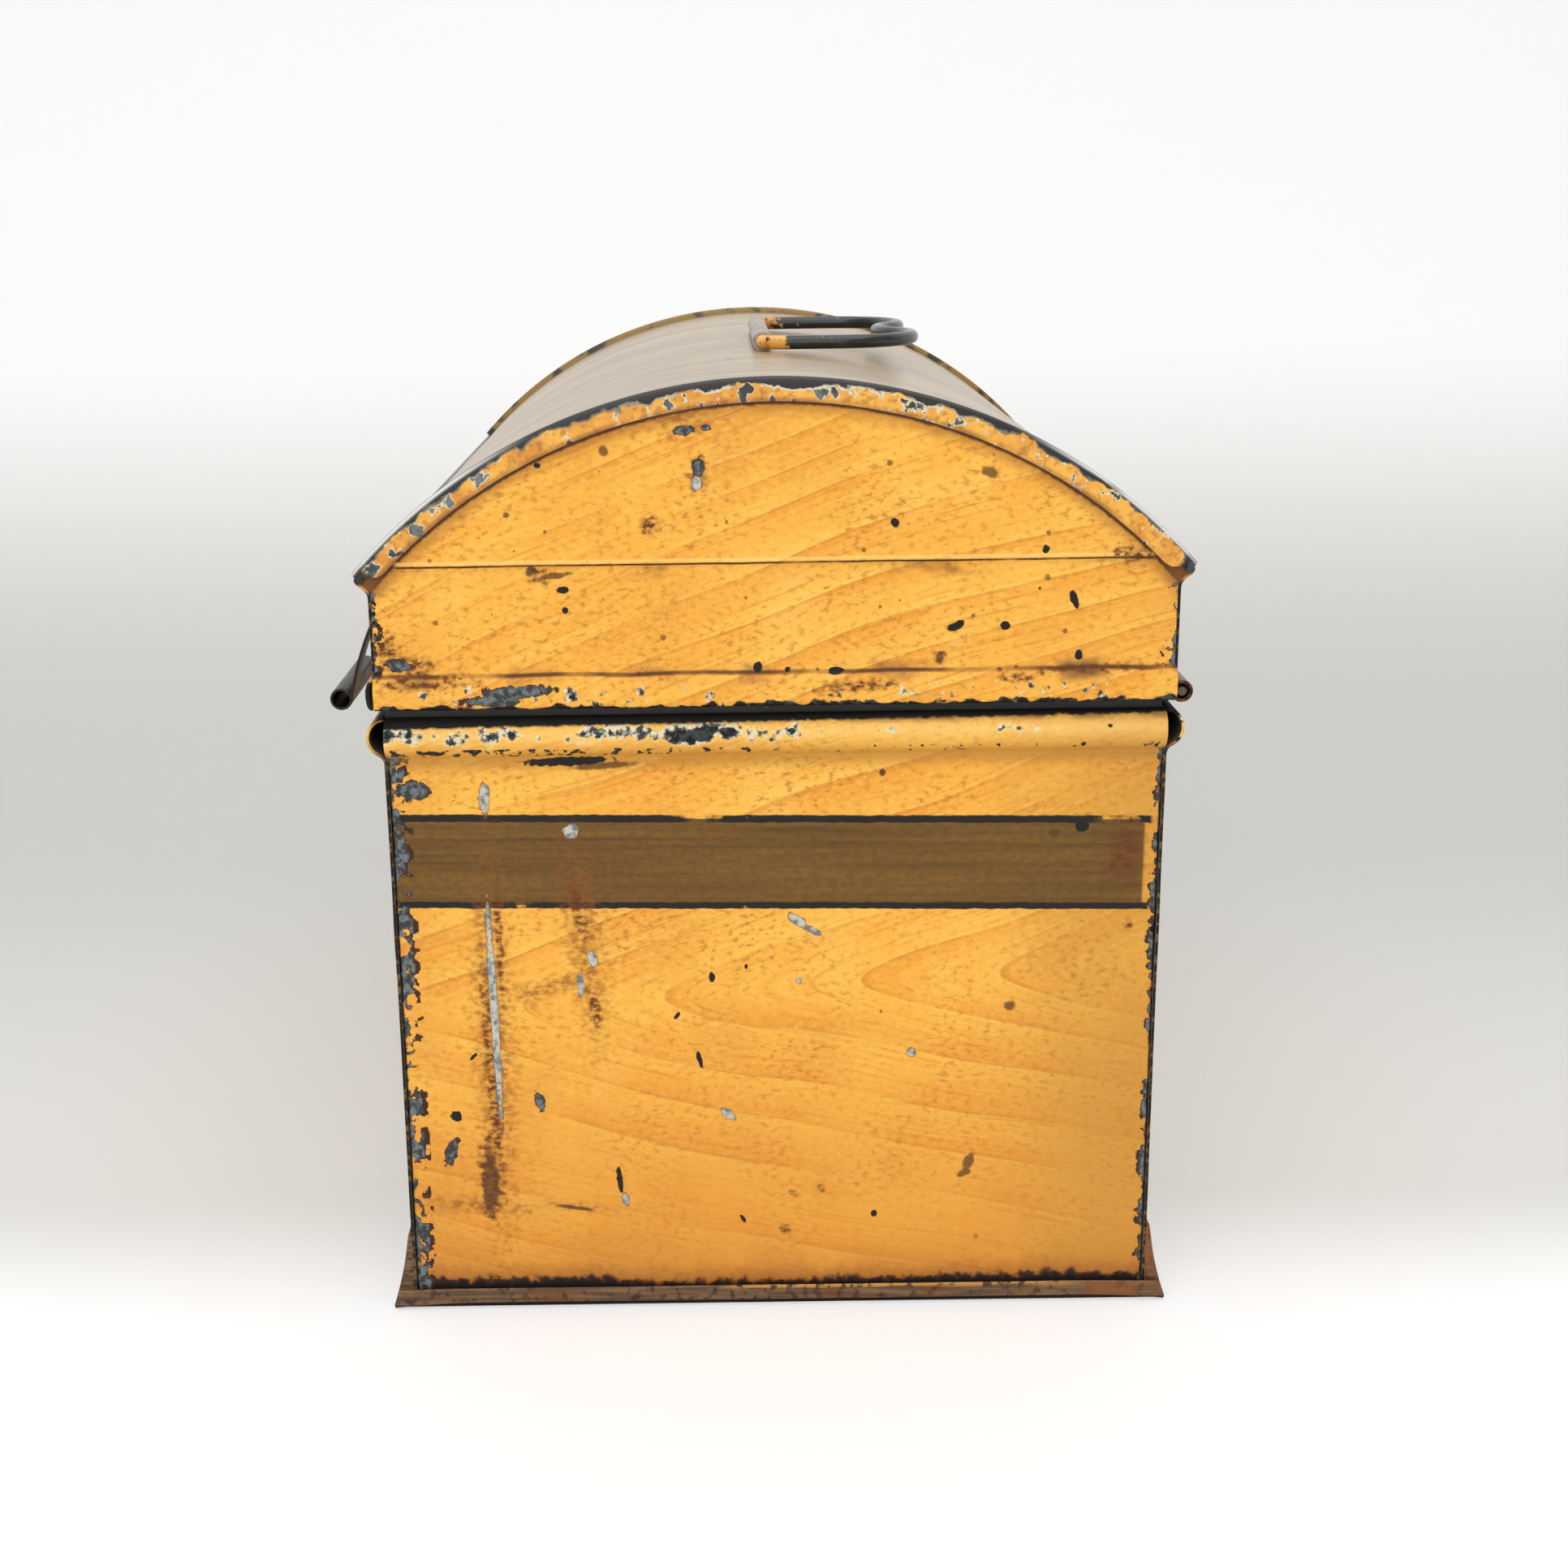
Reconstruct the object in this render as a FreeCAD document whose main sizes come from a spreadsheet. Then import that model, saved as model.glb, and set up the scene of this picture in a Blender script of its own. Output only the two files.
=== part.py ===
"""Dome-topped tin trunk money box: soldered tin base, hinged arched lid, hasp and wire bail.

Millimetres. X runs along the trunk, the front with the hasp faces -Y, Z is up,
and the origin is the middle of the underside.
"""
import FreeCAD
import Part
import Sketcher
import os

SIZES = (
    # base
    ("base_length", 202),
    ("base_width", 124),
    ("sheet_gauge", 0.5),
    ("wall_rise", 96.4),
    ("bead_tall", 6.6),
    ("bead_proud", 2.7),
    ("collar_rise", 8),
    ("collar_lap", 4),
    ("tab_width", 7),
    ("plinth_rise", 13.4),
    ("plinth_out", 3.5),
    ("flange_tall", 3.6),
    ("flange_out", 1.1),
    # lid
    ("lid_gap", 1.4),
    ("lid_slack", 1),
    ("lid_wall_rise", 17.8),
    ("rim_tall", 5.4),
    ("rim_proud", 1.2),
    ("cove_rise", 2.2),
    ("cove_out", 1.8),
    ("eave_rise", 4),
    ("eave_out", 2.2),
    ("eave_roll", 1.4),
    ("dome_rise", 29.2),
    ("seam_raise", 1.2),
    ("seam_lap", 2.4),
    ("seam_border", 3.2),
    ("end_lap", 4),
    ("lap_line", 1),
    ("seat_gap", 0.1),
    # hinge
    ("hinge_wire", 1.4),
    ("hinge_fit", 0.05),
    ("hinge_lift", 0.15),
    ("strap_width", 14),
    ("strap_spacing", 120),
    ("strap_drop", 12),
    ("strap_play", 0.5),
    ("notch_rise", 4.2),
    # handle
    ("bail_wire", 2.5),
    ("bail_span", 61),
    ("bail_reach", 28.4),
    ("bail_lobe", 14),
    ("bail_dip", 5.4),
    ("bail_bend", 3),
    ("bail_tail", 14),
    ("bail_fit", 0.05),
    ("bail_lift", 0.15),
    ("clip_length", 54),
    ("clip_foot", 12),
    ("clip_web", 1),
    # hasp
    ("hasp_width", 32),
    ("hasp_drop", 36.5),
    ("hasp_bow", 2.6),
    ("hasp_kick", 1.6),
    ("hasp_curl", 4.4),
    ("hasp_angle", 24),
    ("hasp_pin", 1.8),
    ("hasp_fit", 0.05),
    ("hasp_axis_rise", 13.6),
    ("hasp_knuckle", 12),
    ("knuckle_play", 0.3),
    ("leaf_drop", 7.6),
    ("rivet_spacing", 22),
    ("rivet_size", 2),
    ("rivet_head", 3.6),
    ("rivet_drop", 4.2),
    ("slot_wide", 17),
    ("slot_tall", 8),
    ("slot_drop", 28),
    # staple
    ("staple_wire", 2.2),
    ("staple_span", 11),
    ("staple_reach", 11.5),
    ("staple_bend", 1.5),
    ("staple_clinch", 6),
)

doc = FreeCAD.newDocument("tin_trunk")
sheet = doc.addObject("Spreadsheet::Sheet", "Sizes")
for row, (alias, number) in enumerate(SIZES, start=1):
    sheet.set(f"A{row}", alias)
    sheet.set(f"B{row}", str(number))
    sheet.setAlias(f"B{row}", alias)
doc.recompute()

# two sketch points closer than this, in millimetres, are one point
SAME_POINT = 1e-6

# heights and half widths that several pieces share, as expressions of the sheet
GAUGE = "Sizes.sheet_gauge"
HALF_LENGTH = "(Sizes.base_length / 2)"
HALF_WIDTH = "(Sizes.base_width / 2)"
BEAD_TOP = "(Sizes.wall_rise + Sizes.bead_tall)"
LID_LOW = f"({BEAD_TOP} + Sizes.lid_gap)"
LID_HALF_LENGTH = f"({HALF_LENGTH} + Sizes.lid_slack)"
LID_HALF_WIDTH = f"({HALF_WIDTH} + Sizes.lid_slack)"
COVE_LOW = f"({LID_LOW} + Sizes.lid_wall_rise)"
COVE_TOP = f"({COVE_LOW} + Sizes.cove_rise)"
EAVE = f"({COVE_LOW} + Sizes.eave_rise)"
EAVE_HALF = f"({LID_HALF_WIDTH} + Sizes.eave_out)"
RIM_RADIUS = f"(({EAVE_HALF}^2 + Sizes.dome_rise^2) / (2 * Sizes.dome_rise))"
DOME_AXIS = f"({EAVE} + Sizes.dome_rise - {RIM_RADIUS})"
TOP_RADIUS = f"({RIM_RADIUS} - Sizes.seam_raise)"
UNDER_RADIUS = f"({TOP_RADIUS} - {GAUGE})"
LINING_RADIUS = f"({UNDER_RADIUS} - Sizes.seat_gap)"
LAP_LINE = f"({EAVE} + Sizes.lap_line)"
HINGE_BORE = "(Sizes.hinge_wire / 2 + Sizes.hinge_fit)"
HINGE_ROLL = f"({HINGE_BORE} + {GAUGE})"
HINGE_Y = f"({LID_HALF_WIDTH} - {GAUGE} + {HINGE_ROLL})"
HINGE_Z = f"({LID_LOW} + {HINGE_ROLL} + Sizes.hinge_lift)"
BAIL_Z = f"({DOME_AXIS} + {TOP_RADIUS} + Sizes.bail_wire / 2 + Sizes.bail_lift)"
CLIP_BORE = "(Sizes.bail_wire / 2 + Sizes.bail_fit)"
HASP_BORE = "(Sizes.hasp_pin / 2 + Sizes.hasp_fit)"
HASP_ROLL = f"({HASP_BORE} + {GAUGE})"
HASP_Y = f"(-({LID_HALF_WIDTH} + {HASP_ROLL}))"
HASP_Z = f"({LID_LOW} + Sizes.hasp_axis_rise)"
STAPLE_Z = f"({HASP_Z} - Sizes.slot_drop)"
RIVET_Z = f"({HASP_Z} - Sizes.rivet_drop)"

ORIGIN_POINT = (-1, 1)


def measure(expression):
    """Value of an expression of the sheet."""
    return float(sheet.evalExpression(expression))


def new_body(label):
    body = doc.addObject("PartDesign::Body", label)
    body.Label = label
    return body


def new_sketch(body, name, role, offset=None):
    """Sketch on one of the body's own origin planes, moved along its normal by offset."""
    sketch = body.newObject("Sketcher::SketchObject", name)
    plane = [item for item in body.Origin.OriginFeatures if item.Role == role][0]
    sketch.AttachmentSupport = [(plane, "")]
    sketch.MapMode = "FlatFace"
    if offset:
        sketch.setExpression("AttachmentOffset.Base.z", offset)
    return sketch


def pin_point(sketch, geometry, position, u, v):
    """Hold one point of the sketch at the distances u and v from its origin."""
    for kind, expression in (("DistanceX", u), ("DistanceY", v)):
        place = Sketcher.Constraint(kind, *ORIGIN_POINT, geometry, position, measure(expression))
        index = sketch.addConstraint(place)
        sketch.setExpression(f"Constraints[{index}]", expression)


def draw_path(sketch, corners, closed=True):
    """Lines and arcs through the corners; a corner's third item is a point on the arc that leaves it."""
    count = len(corners)
    points = [FreeCAD.Vector(measure(c[0]), measure(c[1]), 0) for c in corners]
    ends = []
    for i in range(count if closed else count - 1):
        start = points[i]
        stop = points[(i + 1) % count]
        if len(corners[i]) == 2:
            geometry = sketch.addGeometry(Part.LineSegment(start, stop), False)
            ends.append((geometry, 1, 2))
            continue
        via = corners[i][2]
        middle = FreeCAD.Vector(measure(via[0]), measure(via[1]), 0)
        geometry = sketch.addGeometry(Part.Arc(start, middle, stop), False)
        forward = sketch.getPoint(geometry, 1).distanceToPoint(start) < SAME_POINT
        ends.append((geometry, 1, 2) if forward else (geometry, 2, 1))
        mark = sketch.addGeometry(Part.Point(middle), True)
        pin_point(sketch, mark, 1, *via)
        sketch.addConstraint(Sketcher.Constraint("PointOnObject", mark, 1, geometry))
    for i in range(count if closed else count - 2):
        here = ends[i]
        after = ends[(i + 1) % len(ends)]
        sketch.addConstraint(Sketcher.Constraint("Coincident", here[0], here[2], after[0], after[1]))
    for i, end in enumerate(ends):
        pin_point(sketch, end[0], end[1], *corners[i][:2])
    if not closed:
        pin_point(sketch, ends[-1][0], ends[-1][2], *corners[-1][:2])


def draw_circle(sketch, u, v, radius):
    centre = FreeCAD.Vector(measure(u), measure(v), 0)
    circle = Part.Circle(centre, FreeCAD.Vector(0, 0, 1), measure(radius))
    geometry = sketch.addGeometry(circle, False)
    pin_point(sketch, geometry, 3, u, v)
    index = sketch.addConstraint(Sketcher.Constraint("Radius", geometry, measure(radius)))
    sketch.setExpression(f"Constraints[{index}]", radius)


def pad(body, sketch, length, symmetric=True):
    feature = body.newObject("PartDesign::Pad", f"{sketch.Name}_pad")
    feature.Profile = sketch
    feature.SideType = "Symmetric" if symmetric else "One side"
    feature.setExpression("Length", length)
    return feature


def cut_through(body, sketch):
    """Cut the sketch out of the whole body, both ways from its plane."""
    doc.recompute()
    before = body.Shape.Volume
    feature = body.newObject("PartDesign::Pocket", f"{sketch.Name}_cut")
    feature.Profile = sketch
    feature.SideType = "Symmetric"
    feature.Type = "ThroughAll"
    doc.recompute()
    if body.Shape.Volume >= before:
        raise RuntimeError(f"{sketch.Name} cuts nothing")
    return feature


def sweep_wire(body, name, corners, start_x, start_y, thickness):
    """Round wire bent along a path in the body's XY plane that starts along X."""
    route = new_sketch(body, f"{name}_route", "XY_Plane")
    draw_path(route, corners, closed=False)
    section = new_sketch(body, f"{name}_section", "YZ_Plane", start_x)
    draw_circle(section, start_y, "0", f"({thickness} / 2)")
    pipe = body.newObject("PartDesign::AdditivePipe", f"{name}_pipe")
    pipe.Profile = section
    pipe.Spine = route
    return pipe


def bead_inset(tall, proud):
    """Half height of the hollow inside a pressed bead, at the inner face of the sheet."""
    radius = f"((({tall}) / 2)^2 + ({proud})^2) / (2 * ({proud}))"
    return f"sqrt(({radius} - {GAUGE})^2 - ({radius} - {proud} - {GAUGE})^2)"


def facing(side, expression):
    """The expression, or its negative on the side that faces the other way."""
    return expression if side > 0 else f"(-{expression})"


def base_section(side, half):
    """Section of a base wall: flat sheet with a half-round bead pressed out along its top."""
    outer = facing(side, half)
    inner = facing(side, f"({half} - {GAUGE})")
    crown = facing(side, f"({half} + Sizes.bead_proud)")
    hollow = facing(side, f"({half} + Sizes.bead_proud - {GAUGE})")
    middle = "(Sizes.wall_rise + Sizes.bead_tall / 2)"
    reach = bead_inset("Sizes.bead_tall", "Sizes.bead_proud")
    return [
        (inner, GAUGE),
        (outer, GAUGE),
        (outer, "Sizes.wall_rise", (crown, middle)),
        (outer, BEAD_TOP),
        (inner, BEAD_TOP),
        (inner, f"({middle} + {reach})", (hollow, middle)),
        (inner, f"({middle} - {reach})"),
    ]


def rectangle(u_low, u_high, v_low, v_high):
    return [(u_low, v_low), (u_high, v_low), (u_high, v_high), (u_low, v_high)]


def base_long_panel(label, side):
    body = new_body(label)
    section = new_sketch(body, f"{label}_section", "YZ_Plane")
    draw_path(section, base_section(side, HALF_WIDTH))
    pad(body, section, "Sizes.base_length")
    return body


def base_end_panel(label, side):
    """End wall between the long walls, with two soldering tabs turned in at its upright edges."""
    body = new_body(label)
    section = new_sketch(body, f"{label}_section", "XZ_Plane")
    draw_path(section, base_section(side, HALF_LENGTH))
    pad(body, section, f"Sizes.base_width - 2 * {GAUGE}")
    inner = facing(side, f"({HALF_LENGTH} - {GAUGE})")
    tip = facing(side, f"({HALF_LENGTH} - {GAUGE} - Sizes.tab_width)")
    tabs = new_sketch(body, f"{label}_tabs", "XY_Plane", GAUGE)
    for edge in (1, -1):
        near = facing(edge, f"({HALF_WIDTH} - {GAUGE})")
        far = facing(edge, f"({HALF_WIDTH} - 2 * {GAUGE})")
        draw_path(tabs, rectangle(inner, tip, near, far))
    pad(body, tabs, f"Sizes.wall_rise - Sizes.collar_lap - 2 * {GAUGE}", symmetric=False)
    return body


def collar_strip(label, plane, side, half, length, rise):
    """Flat strip soldered inside the top of a base wall, that the lid closes over."""
    body = new_body(label)
    section = new_sketch(body, f"{label}_section", plane)
    outer = facing(side, f"({half} - {GAUGE})")
    inner = facing(side, f"({half} - 2 * {GAUGE})")
    draw_path(section, rectangle(outer, inner, "(Sizes.wall_rise - Sizes.collar_lap)", rise))
    pad(body, section, length)
    return body


def bottom_tray():
    """Bottom plate folded up into sloping plinth skirts, corner ears and low end flanges."""
    body = new_body("bottom_tray")
    foot = f"({HALF_WIDTH} + Sizes.plinth_out)"
    fold = f"({foot} - {GAUGE})"
    lip = f"({HALF_WIDTH} + {GAUGE})"
    right = [(foot, "0"), (lip, "Sizes.plinth_rise"), (HALF_WIDTH, "Sizes.plinth_rise"), (fold, GAUGE)]
    left = [(f"(-{u})", v) for u, v in reversed(right)]
    section = new_sketch(body, "tray_section", "YZ_Plane")
    draw_path(section, right + left)
    pad(body, section, "Sizes.base_length")
    for side, name in ((1, "right"), (-1, "left")):
        ears = new_sketch(body, f"tray_ears_{name}", "YZ_Plane",
                          facing(side, f"({HALF_LENGTH} - (1 + {side}) / 2 * {GAUGE})"))
        for edge in (1, -1):
            draw_path(ears, [(facing(edge, HALF_WIDTH), GAUGE),
                             (facing(edge, fold), GAUGE),
                             (facing(edge, HALF_WIDTH), "Sizes.plinth_rise")])
        pad(body, ears, GAUGE, symmetric=False)
        wall = facing(side, HALF_LENGTH)
        face = facing(side, f"({HALF_LENGTH} + Sizes.flange_out)")
        back = facing(side, f"({HALF_LENGTH} + Sizes.flange_out - {GAUGE})")
        flange = new_sketch(body, f"tray_flange_{name}", "XZ_Plane")
        draw_path(flange, [(wall, "0"), (face, "0"), (face, "Sizes.flange_tall"),
                           (back, "Sizes.flange_tall"), (back, GAUGE), (wall, GAUGE)])
        pad(body, flange, f"2 * {foot}")
    return body


def cove(side, low_half):
    """The flare under the eave: corners of its outer or inner line from the wall up."""
    half = f"({low_half})"
    tip = facing(side, f"({half} + Sizes.cove_out)")
    start = facing(side, half)
    via = (facing(side, f"({half} + Sizes.cove_out * 0.32)"), f"({COVE_LOW} + Sizes.cove_rise * 0.62)")
    return start, tip, via


def lid_front_wall():
    body = new_body("lid_front_wall")
    outer_start, outer_tip, outer_via = cove(-1, LID_HALF_WIDTH)
    inner_half = f"({LID_HALF_WIDTH} - {GAUGE})"
    inner_start, inner_tip, inner_via = cove(-1, inner_half)
    crown = f"(-({LID_HALF_WIDTH} + Sizes.rim_proud))"
    hollow = f"(-({LID_HALF_WIDTH} + Sizes.rim_proud - {GAUGE}))"
    middle = f"({LID_LOW} + Sizes.rim_tall / 2)"
    reach = bead_inset("Sizes.rim_tall", "Sizes.rim_proud")
    section = new_sketch(body, "front_wall_section", "YZ_Plane")
    draw_path(section, [
        (inner_start, LID_LOW),
        (outer_start, LID_LOW, (crown, middle)),
        (outer_start, f"({LID_LOW} + Sizes.rim_tall)"),
        (outer_start, COVE_LOW, outer_via),
        (outer_tip, COVE_TOP),
        (inner_tip, COVE_TOP, inner_via),
        (inner_start, COVE_LOW),
        (inner_start, f"({middle} + {reach})", (hollow, middle)),
        (inner_start, f"({middle} - {reach})"),
    ])
    pad(body, section, f"2 * {LID_HALF_LENGTH}")
    holes = new_sketch(body, "front_wall_holes", "XZ_Plane")
    rivet_holes(holes, RIVET_Z)
    cut_through(body, holes)
    return body


def rivet_holes(sketch, height):
    for side in (1, -1):
        draw_circle(sketch, facing(side, "(Sizes.rivet_spacing / 2)"), height,
                    "(Sizes.rivet_size / 2 + Sizes.hasp_fit)")


def lid_back_wall():
    """Back wall rolled outward round the hinge wire, notched where the base straps come through."""
    body = new_body("lid_back_wall")
    outer_start, outer_tip, outer_via = cove(1, LID_HALF_WIDTH)
    inner_start, inner_tip, inner_via = cove(1, f"({LID_HALF_WIDTH} - {GAUGE})")
    section = new_sketch(body, "back_wall_section", "YZ_Plane")
    draw_path(section, [
        (outer_start, HINGE_Z),
        (outer_start, COVE_LOW, outer_via),
        (outer_tip, COVE_TOP),
        (inner_tip, COVE_TOP, inner_via),
        (inner_start, COVE_LOW),
        (inner_start, HINGE_Z),
    ])
    pad(body, section, f"2 * {LID_HALF_LENGTH}")
    roll = new_sketch(body, "back_wall_roll", "YZ_Plane")
    draw_circle(roll, HINGE_Y, HINGE_Z, HINGE_ROLL)
    draw_circle(roll, HINGE_Y, HINGE_Z, HINGE_BORE)
    pad(body, roll, f"2 * {LID_HALF_LENGTH}")
    notches = new_sketch(body, "back_wall_notches", "XZ_Plane")
    half = "(Sizes.strap_width / 2 + Sizes.strap_play)"
    for side in (1, -1):
        centre = facing(side, "(Sizes.strap_spacing / 2)")
        draw_path(notches, rectangle(f"({centre} - {half})", f"({centre} + {half})",
                                     BEAD_TOP, f"({LID_LOW} + Sizes.notch_rise)"))
    cut_through(body, notches)
    return body


def lid_end_wall(label, side):
    """Lower end wall of the lid: rolled rim below, flared ears under the eaves, lapped above."""
    body = new_body(label)
    face = facing(side, LID_HALF_LENGTH)
    back = facing(side, f"({LID_HALF_LENGTH} - {GAUGE})")
    crown = facing(side, f"({LID_HALF_LENGTH} + Sizes.rim_proud)")
    hollow = facing(side, f"({LID_HALF_LENGTH} + Sizes.rim_proud - {GAUGE})")
    middle = f"({LID_LOW} + Sizes.rim_tall / 2)"
    reach = bead_inset("Sizes.rim_tall", "Sizes.rim_proud")
    inner_half = f"({LID_HALF_WIDTH} - {GAUGE})"
    section = new_sketch(body, f"{label}_section", "XZ_Plane")
    draw_path(section, [
        (back, LID_LOW),
        (face, LID_LOW, (crown, middle)),
        (face, f"({LID_LOW} + Sizes.rim_tall)"),
        (face, COVE_LOW),
        (back, COVE_LOW),
        (back, f"({middle} + {reach})", (hollow, middle)),
        (back, f"({middle} - {reach})"),
    ])
    pad(body, section, f"2 * {inner_half}")
    lap_top = f"({LAP_LINE} + Sizes.end_lap)"
    lap_half = f"sqrt({LINING_RADIUS}^2 - ({lap_top} - {DOME_AXIS})^2)"
    start, tip, via = cove(1, inner_half)
    ear_top = f"({DOME_AXIS} + sqrt({LINING_RADIUS}^2 - {tip}^2))"
    shoulder = [(start, COVE_LOW, via), (tip, COVE_TOP), (f"({tip} - Sizes.eave_roll)", ear_top), (lap_half, lap_top)]
    mirrored = [(f"(-{lap_half})", lap_top), (f"(-({tip} - Sizes.eave_roll))", ear_top),
                (f"(-{tip})", COVE_TOP, (f"(-{via[0]})", via[1])), (f"(-{start})", COVE_LOW)]
    plate = new_sketch(body, f"{label}_plate", "YZ_Plane",
                       facing(side, f"({LID_HALF_LENGTH} - (1 + {side}) / 2 * {GAUGE})"))
    draw_path(plate, shoulder + mirrored)
    pad(body, plate, GAUGE, symmetric=False)
    return body


def lid_end_arch(label, side):
    """Arched end plate that laps over the lower end wall and fits under the curved top."""
    body = new_body(label)
    start = f"({LID_HALF_LENGTH} + (1 - {side}) / 2 * {GAUGE})"
    plate = new_sketch(body, f"{label}_plate", "YZ_Plane", facing(side, start))
    half = f"sqrt({LINING_RADIUS}^2 - ({LAP_LINE} - {DOME_AXIS})^2)"
    draw_path(plate, [
        (f"(-{half})", LAP_LINE, ("0", f"({DOME_AXIS} + {LINING_RADIUS})")),
        (half, LAP_LINE),
    ])
    pad(body, plate, GAUGE, symmetric=False)
    return body


def lid_dome():
    """Curved top sheet with a raised seam at each end turned down over the end plate."""
    body = new_body("lid_dome")
    end = f"({LID_HALF_LENGTH} + 2 * {GAUGE})"
    turn = f"({LID_HALF_LENGTH} + {GAUGE})"
    lap = f"({end} - Sizes.seam_lap)"
    rim = f"({DOME_AXIS} + {RIM_RADIUS})"
    top = f"({DOME_AXIS} + {TOP_RADIUS})"
    under = f"({DOME_AXIS} + {UNDER_RADIUS})"
    border = f"({rim} - {GAUGE} - Sizes.seam_border)"
    right = [(lap, top), (lap, rim), (end, rim), (end, border), (turn, border), (turn, under)]
    left = [(f"(-{u})", v) for u, v in reversed(right)]
    section = new_sketch(body, "dome_section", "XZ_Plane")
    draw_path(section, right + left)
    axis = sketch_axis(section, DOME_AXIS)
    sweep = body.newObject("PartDesign::Revolution", "dome_sweep")
    sweep.Profile = section
    sweep.ReferenceAxis = (section, [axis])
    sweep.Midplane = True
    sweep.setExpression("Angle", f"2 * asin({EAVE_HALF} / {RIM_RADIUS})")
    middle = f"({TOP_RADIUS} - {GAUGE} / 2)"
    for side, name in ((1, "back"), (-1, "front")):
        roll = new_sketch(body, f"dome_eave_{name}", "YZ_Plane")
        draw_circle(roll, facing(side, f"({middle} * {EAVE_HALF} / {RIM_RADIUS})"),
                    f"({DOME_AXIS} + {middle} * ({EAVE} - {DOME_AXIS}) / {RIM_RADIUS})", "(Sizes.eave_roll / 2)")
        pad(body, roll, f"2 * {turn}")
    trim = new_sketch(body, "dome_border_trim", "XZ_Plane")
    trim_low = f"({border} - Sizes.dome_rise - {EAVE_HALF})"
    for side in (1, -1):
        draw_path(trim, rectangle(facing(side, turn), facing(side, f"({end} + {GAUGE})"),
                                  trim_low, f"({EAVE} - {GAUGE})"))
    cut_through(body, trim)
    slot = new_sketch(body, "dome_slot", "XY_Plane")
    half = "(Sizes.clip_length / 2 + 2 * Sizes.seat_gap)"
    wide = f"({CLIP_BORE} + {GAUGE})"
    draw_path(slot, rectangle(f"(-{half})", half, f"(-{wide})", wide))
    cut_through(body, slot)
    return body


def sketch_axis(sketch, height):
    """Level construction line at the height, as an axis to turn about."""
    level = measure(height)
    line = Part.LineSegment(FreeCAD.Vector(0, level, 0), FreeCAD.Vector(1, level, 0))
    geometry = sketch.addGeometry(line, True)
    pin_point(sketch, geometry, 1, "0", height)
    pin_point(sketch, geometry, 2, "1", height)
    axes = [i for i in range(len(sketch.Geometry)) if sketch.getConstruction(i)]
    lines = [i for i in axes if isinstance(sketch.Geometry[i], Part.LineSegment)]
    return f"Axis{lines.index(geometry)}"


def hinge_wire():
    wire = doc.addObject("Part::Cylinder", "hinge_wire")
    wire.Label = "hinge_wire"
    wire.setExpression("Radius", "Sizes.hinge_wire / 2")
    wire.setExpression("Height", f"2 * {LID_HALF_LENGTH}")
    wire.Placement = FreeCAD.Placement(FreeCAD.Vector(), FreeCAD.Rotation(FreeCAD.Vector(0, 1, 0), 90))
    wire.setExpression("Placement.Base.x", f"-{LID_HALF_LENGTH}")
    wire.setExpression("Placement.Base.y", HINGE_Y)
    wire.setExpression("Placement.Base.z", HINGE_Z)
    return wire


def hinge_strap(label, side):
    """Tin strap looped round the hinge wire, over the back collar and down inside the base."""
    body = new_body(label)
    bore = f"({HINGE_BORE} + Sizes.hinge_fit)"
    loop = f"({bore} + {GAUGE})"
    ring = new_sketch(body, f"{label}_loop", "YZ_Plane")
    draw_circle(ring, HINGE_Y, HINGE_Z, loop)
    draw_circle(ring, HINGE_Y, HINGE_Z, bore)
    pad(body, ring, "Sizes.strap_width")
    back = f"({HINGE_Y} - {loop})"
    front = f"({back} + {GAUGE})"
    inside = f"({HALF_WIDTH} - 2 * {GAUGE})"
    tail = new_sketch(body, f"{label}_tail", "YZ_Plane")
    low = f"({BEAD_TOP} - Sizes.strap_drop)"
    draw_path(tail, [
        (front, HINGE_Z),
        (back, HINGE_Z),
        (back, f"({BEAD_TOP} + {GAUGE})"),
        (f"({inside} - {GAUGE})", f"({BEAD_TOP} + {GAUGE})"),
        (f"({inside} - {GAUGE})", low),
        (inside, low),
        (inside, BEAD_TOP),
        (front, BEAD_TOP),
    ])
    pad(body, tail, "Sizes.strap_width")
    body.setExpression("Placement.Base.x", facing(side, "(Sizes.strap_spacing / 2)"))
    return body


def handle_clip():
    """Tin tube on the crest of the lid, its foot pushed through a slot and spread inside."""
    body = new_body("handle_clip")
    tube = new_sketch(body, "clip_tube", "YZ_Plane")
    outer = f"({CLIP_BORE} + {GAUGE})"
    draw_circle(tube, "0", "0", outer)
    draw_circle(tube, "0", "0", CLIP_BORE)
    pad(body, tube, "Sizes.clip_length")
    web = "(Sizes.clip_web / 2)"
    root = f"(-({CLIP_BORE} + {GAUGE} / 2))"
    spread = f"({DOME_AXIS} + sqrt({UNDER_RADIUS}^2 - {foot_half()}^2) - Sizes.seat_gap - {BAIL_Z})"
    right = [(web, root), (web, spread), (foot_half(), spread), (foot_half(), f"({spread} - {GAUGE})")]
    left = [(f"(-{u})", v) for u, v in reversed(right)]
    foot = new_sketch(body, "clip_foot", "YZ_Plane")
    draw_path(foot, right + left)
    pad(body, foot, "Sizes.clip_length")
    body.setExpression("Placement.Base.z", BAIL_Z)
    return body


def foot_half():
    return "(Sizes.clip_foot / 2)"


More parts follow.
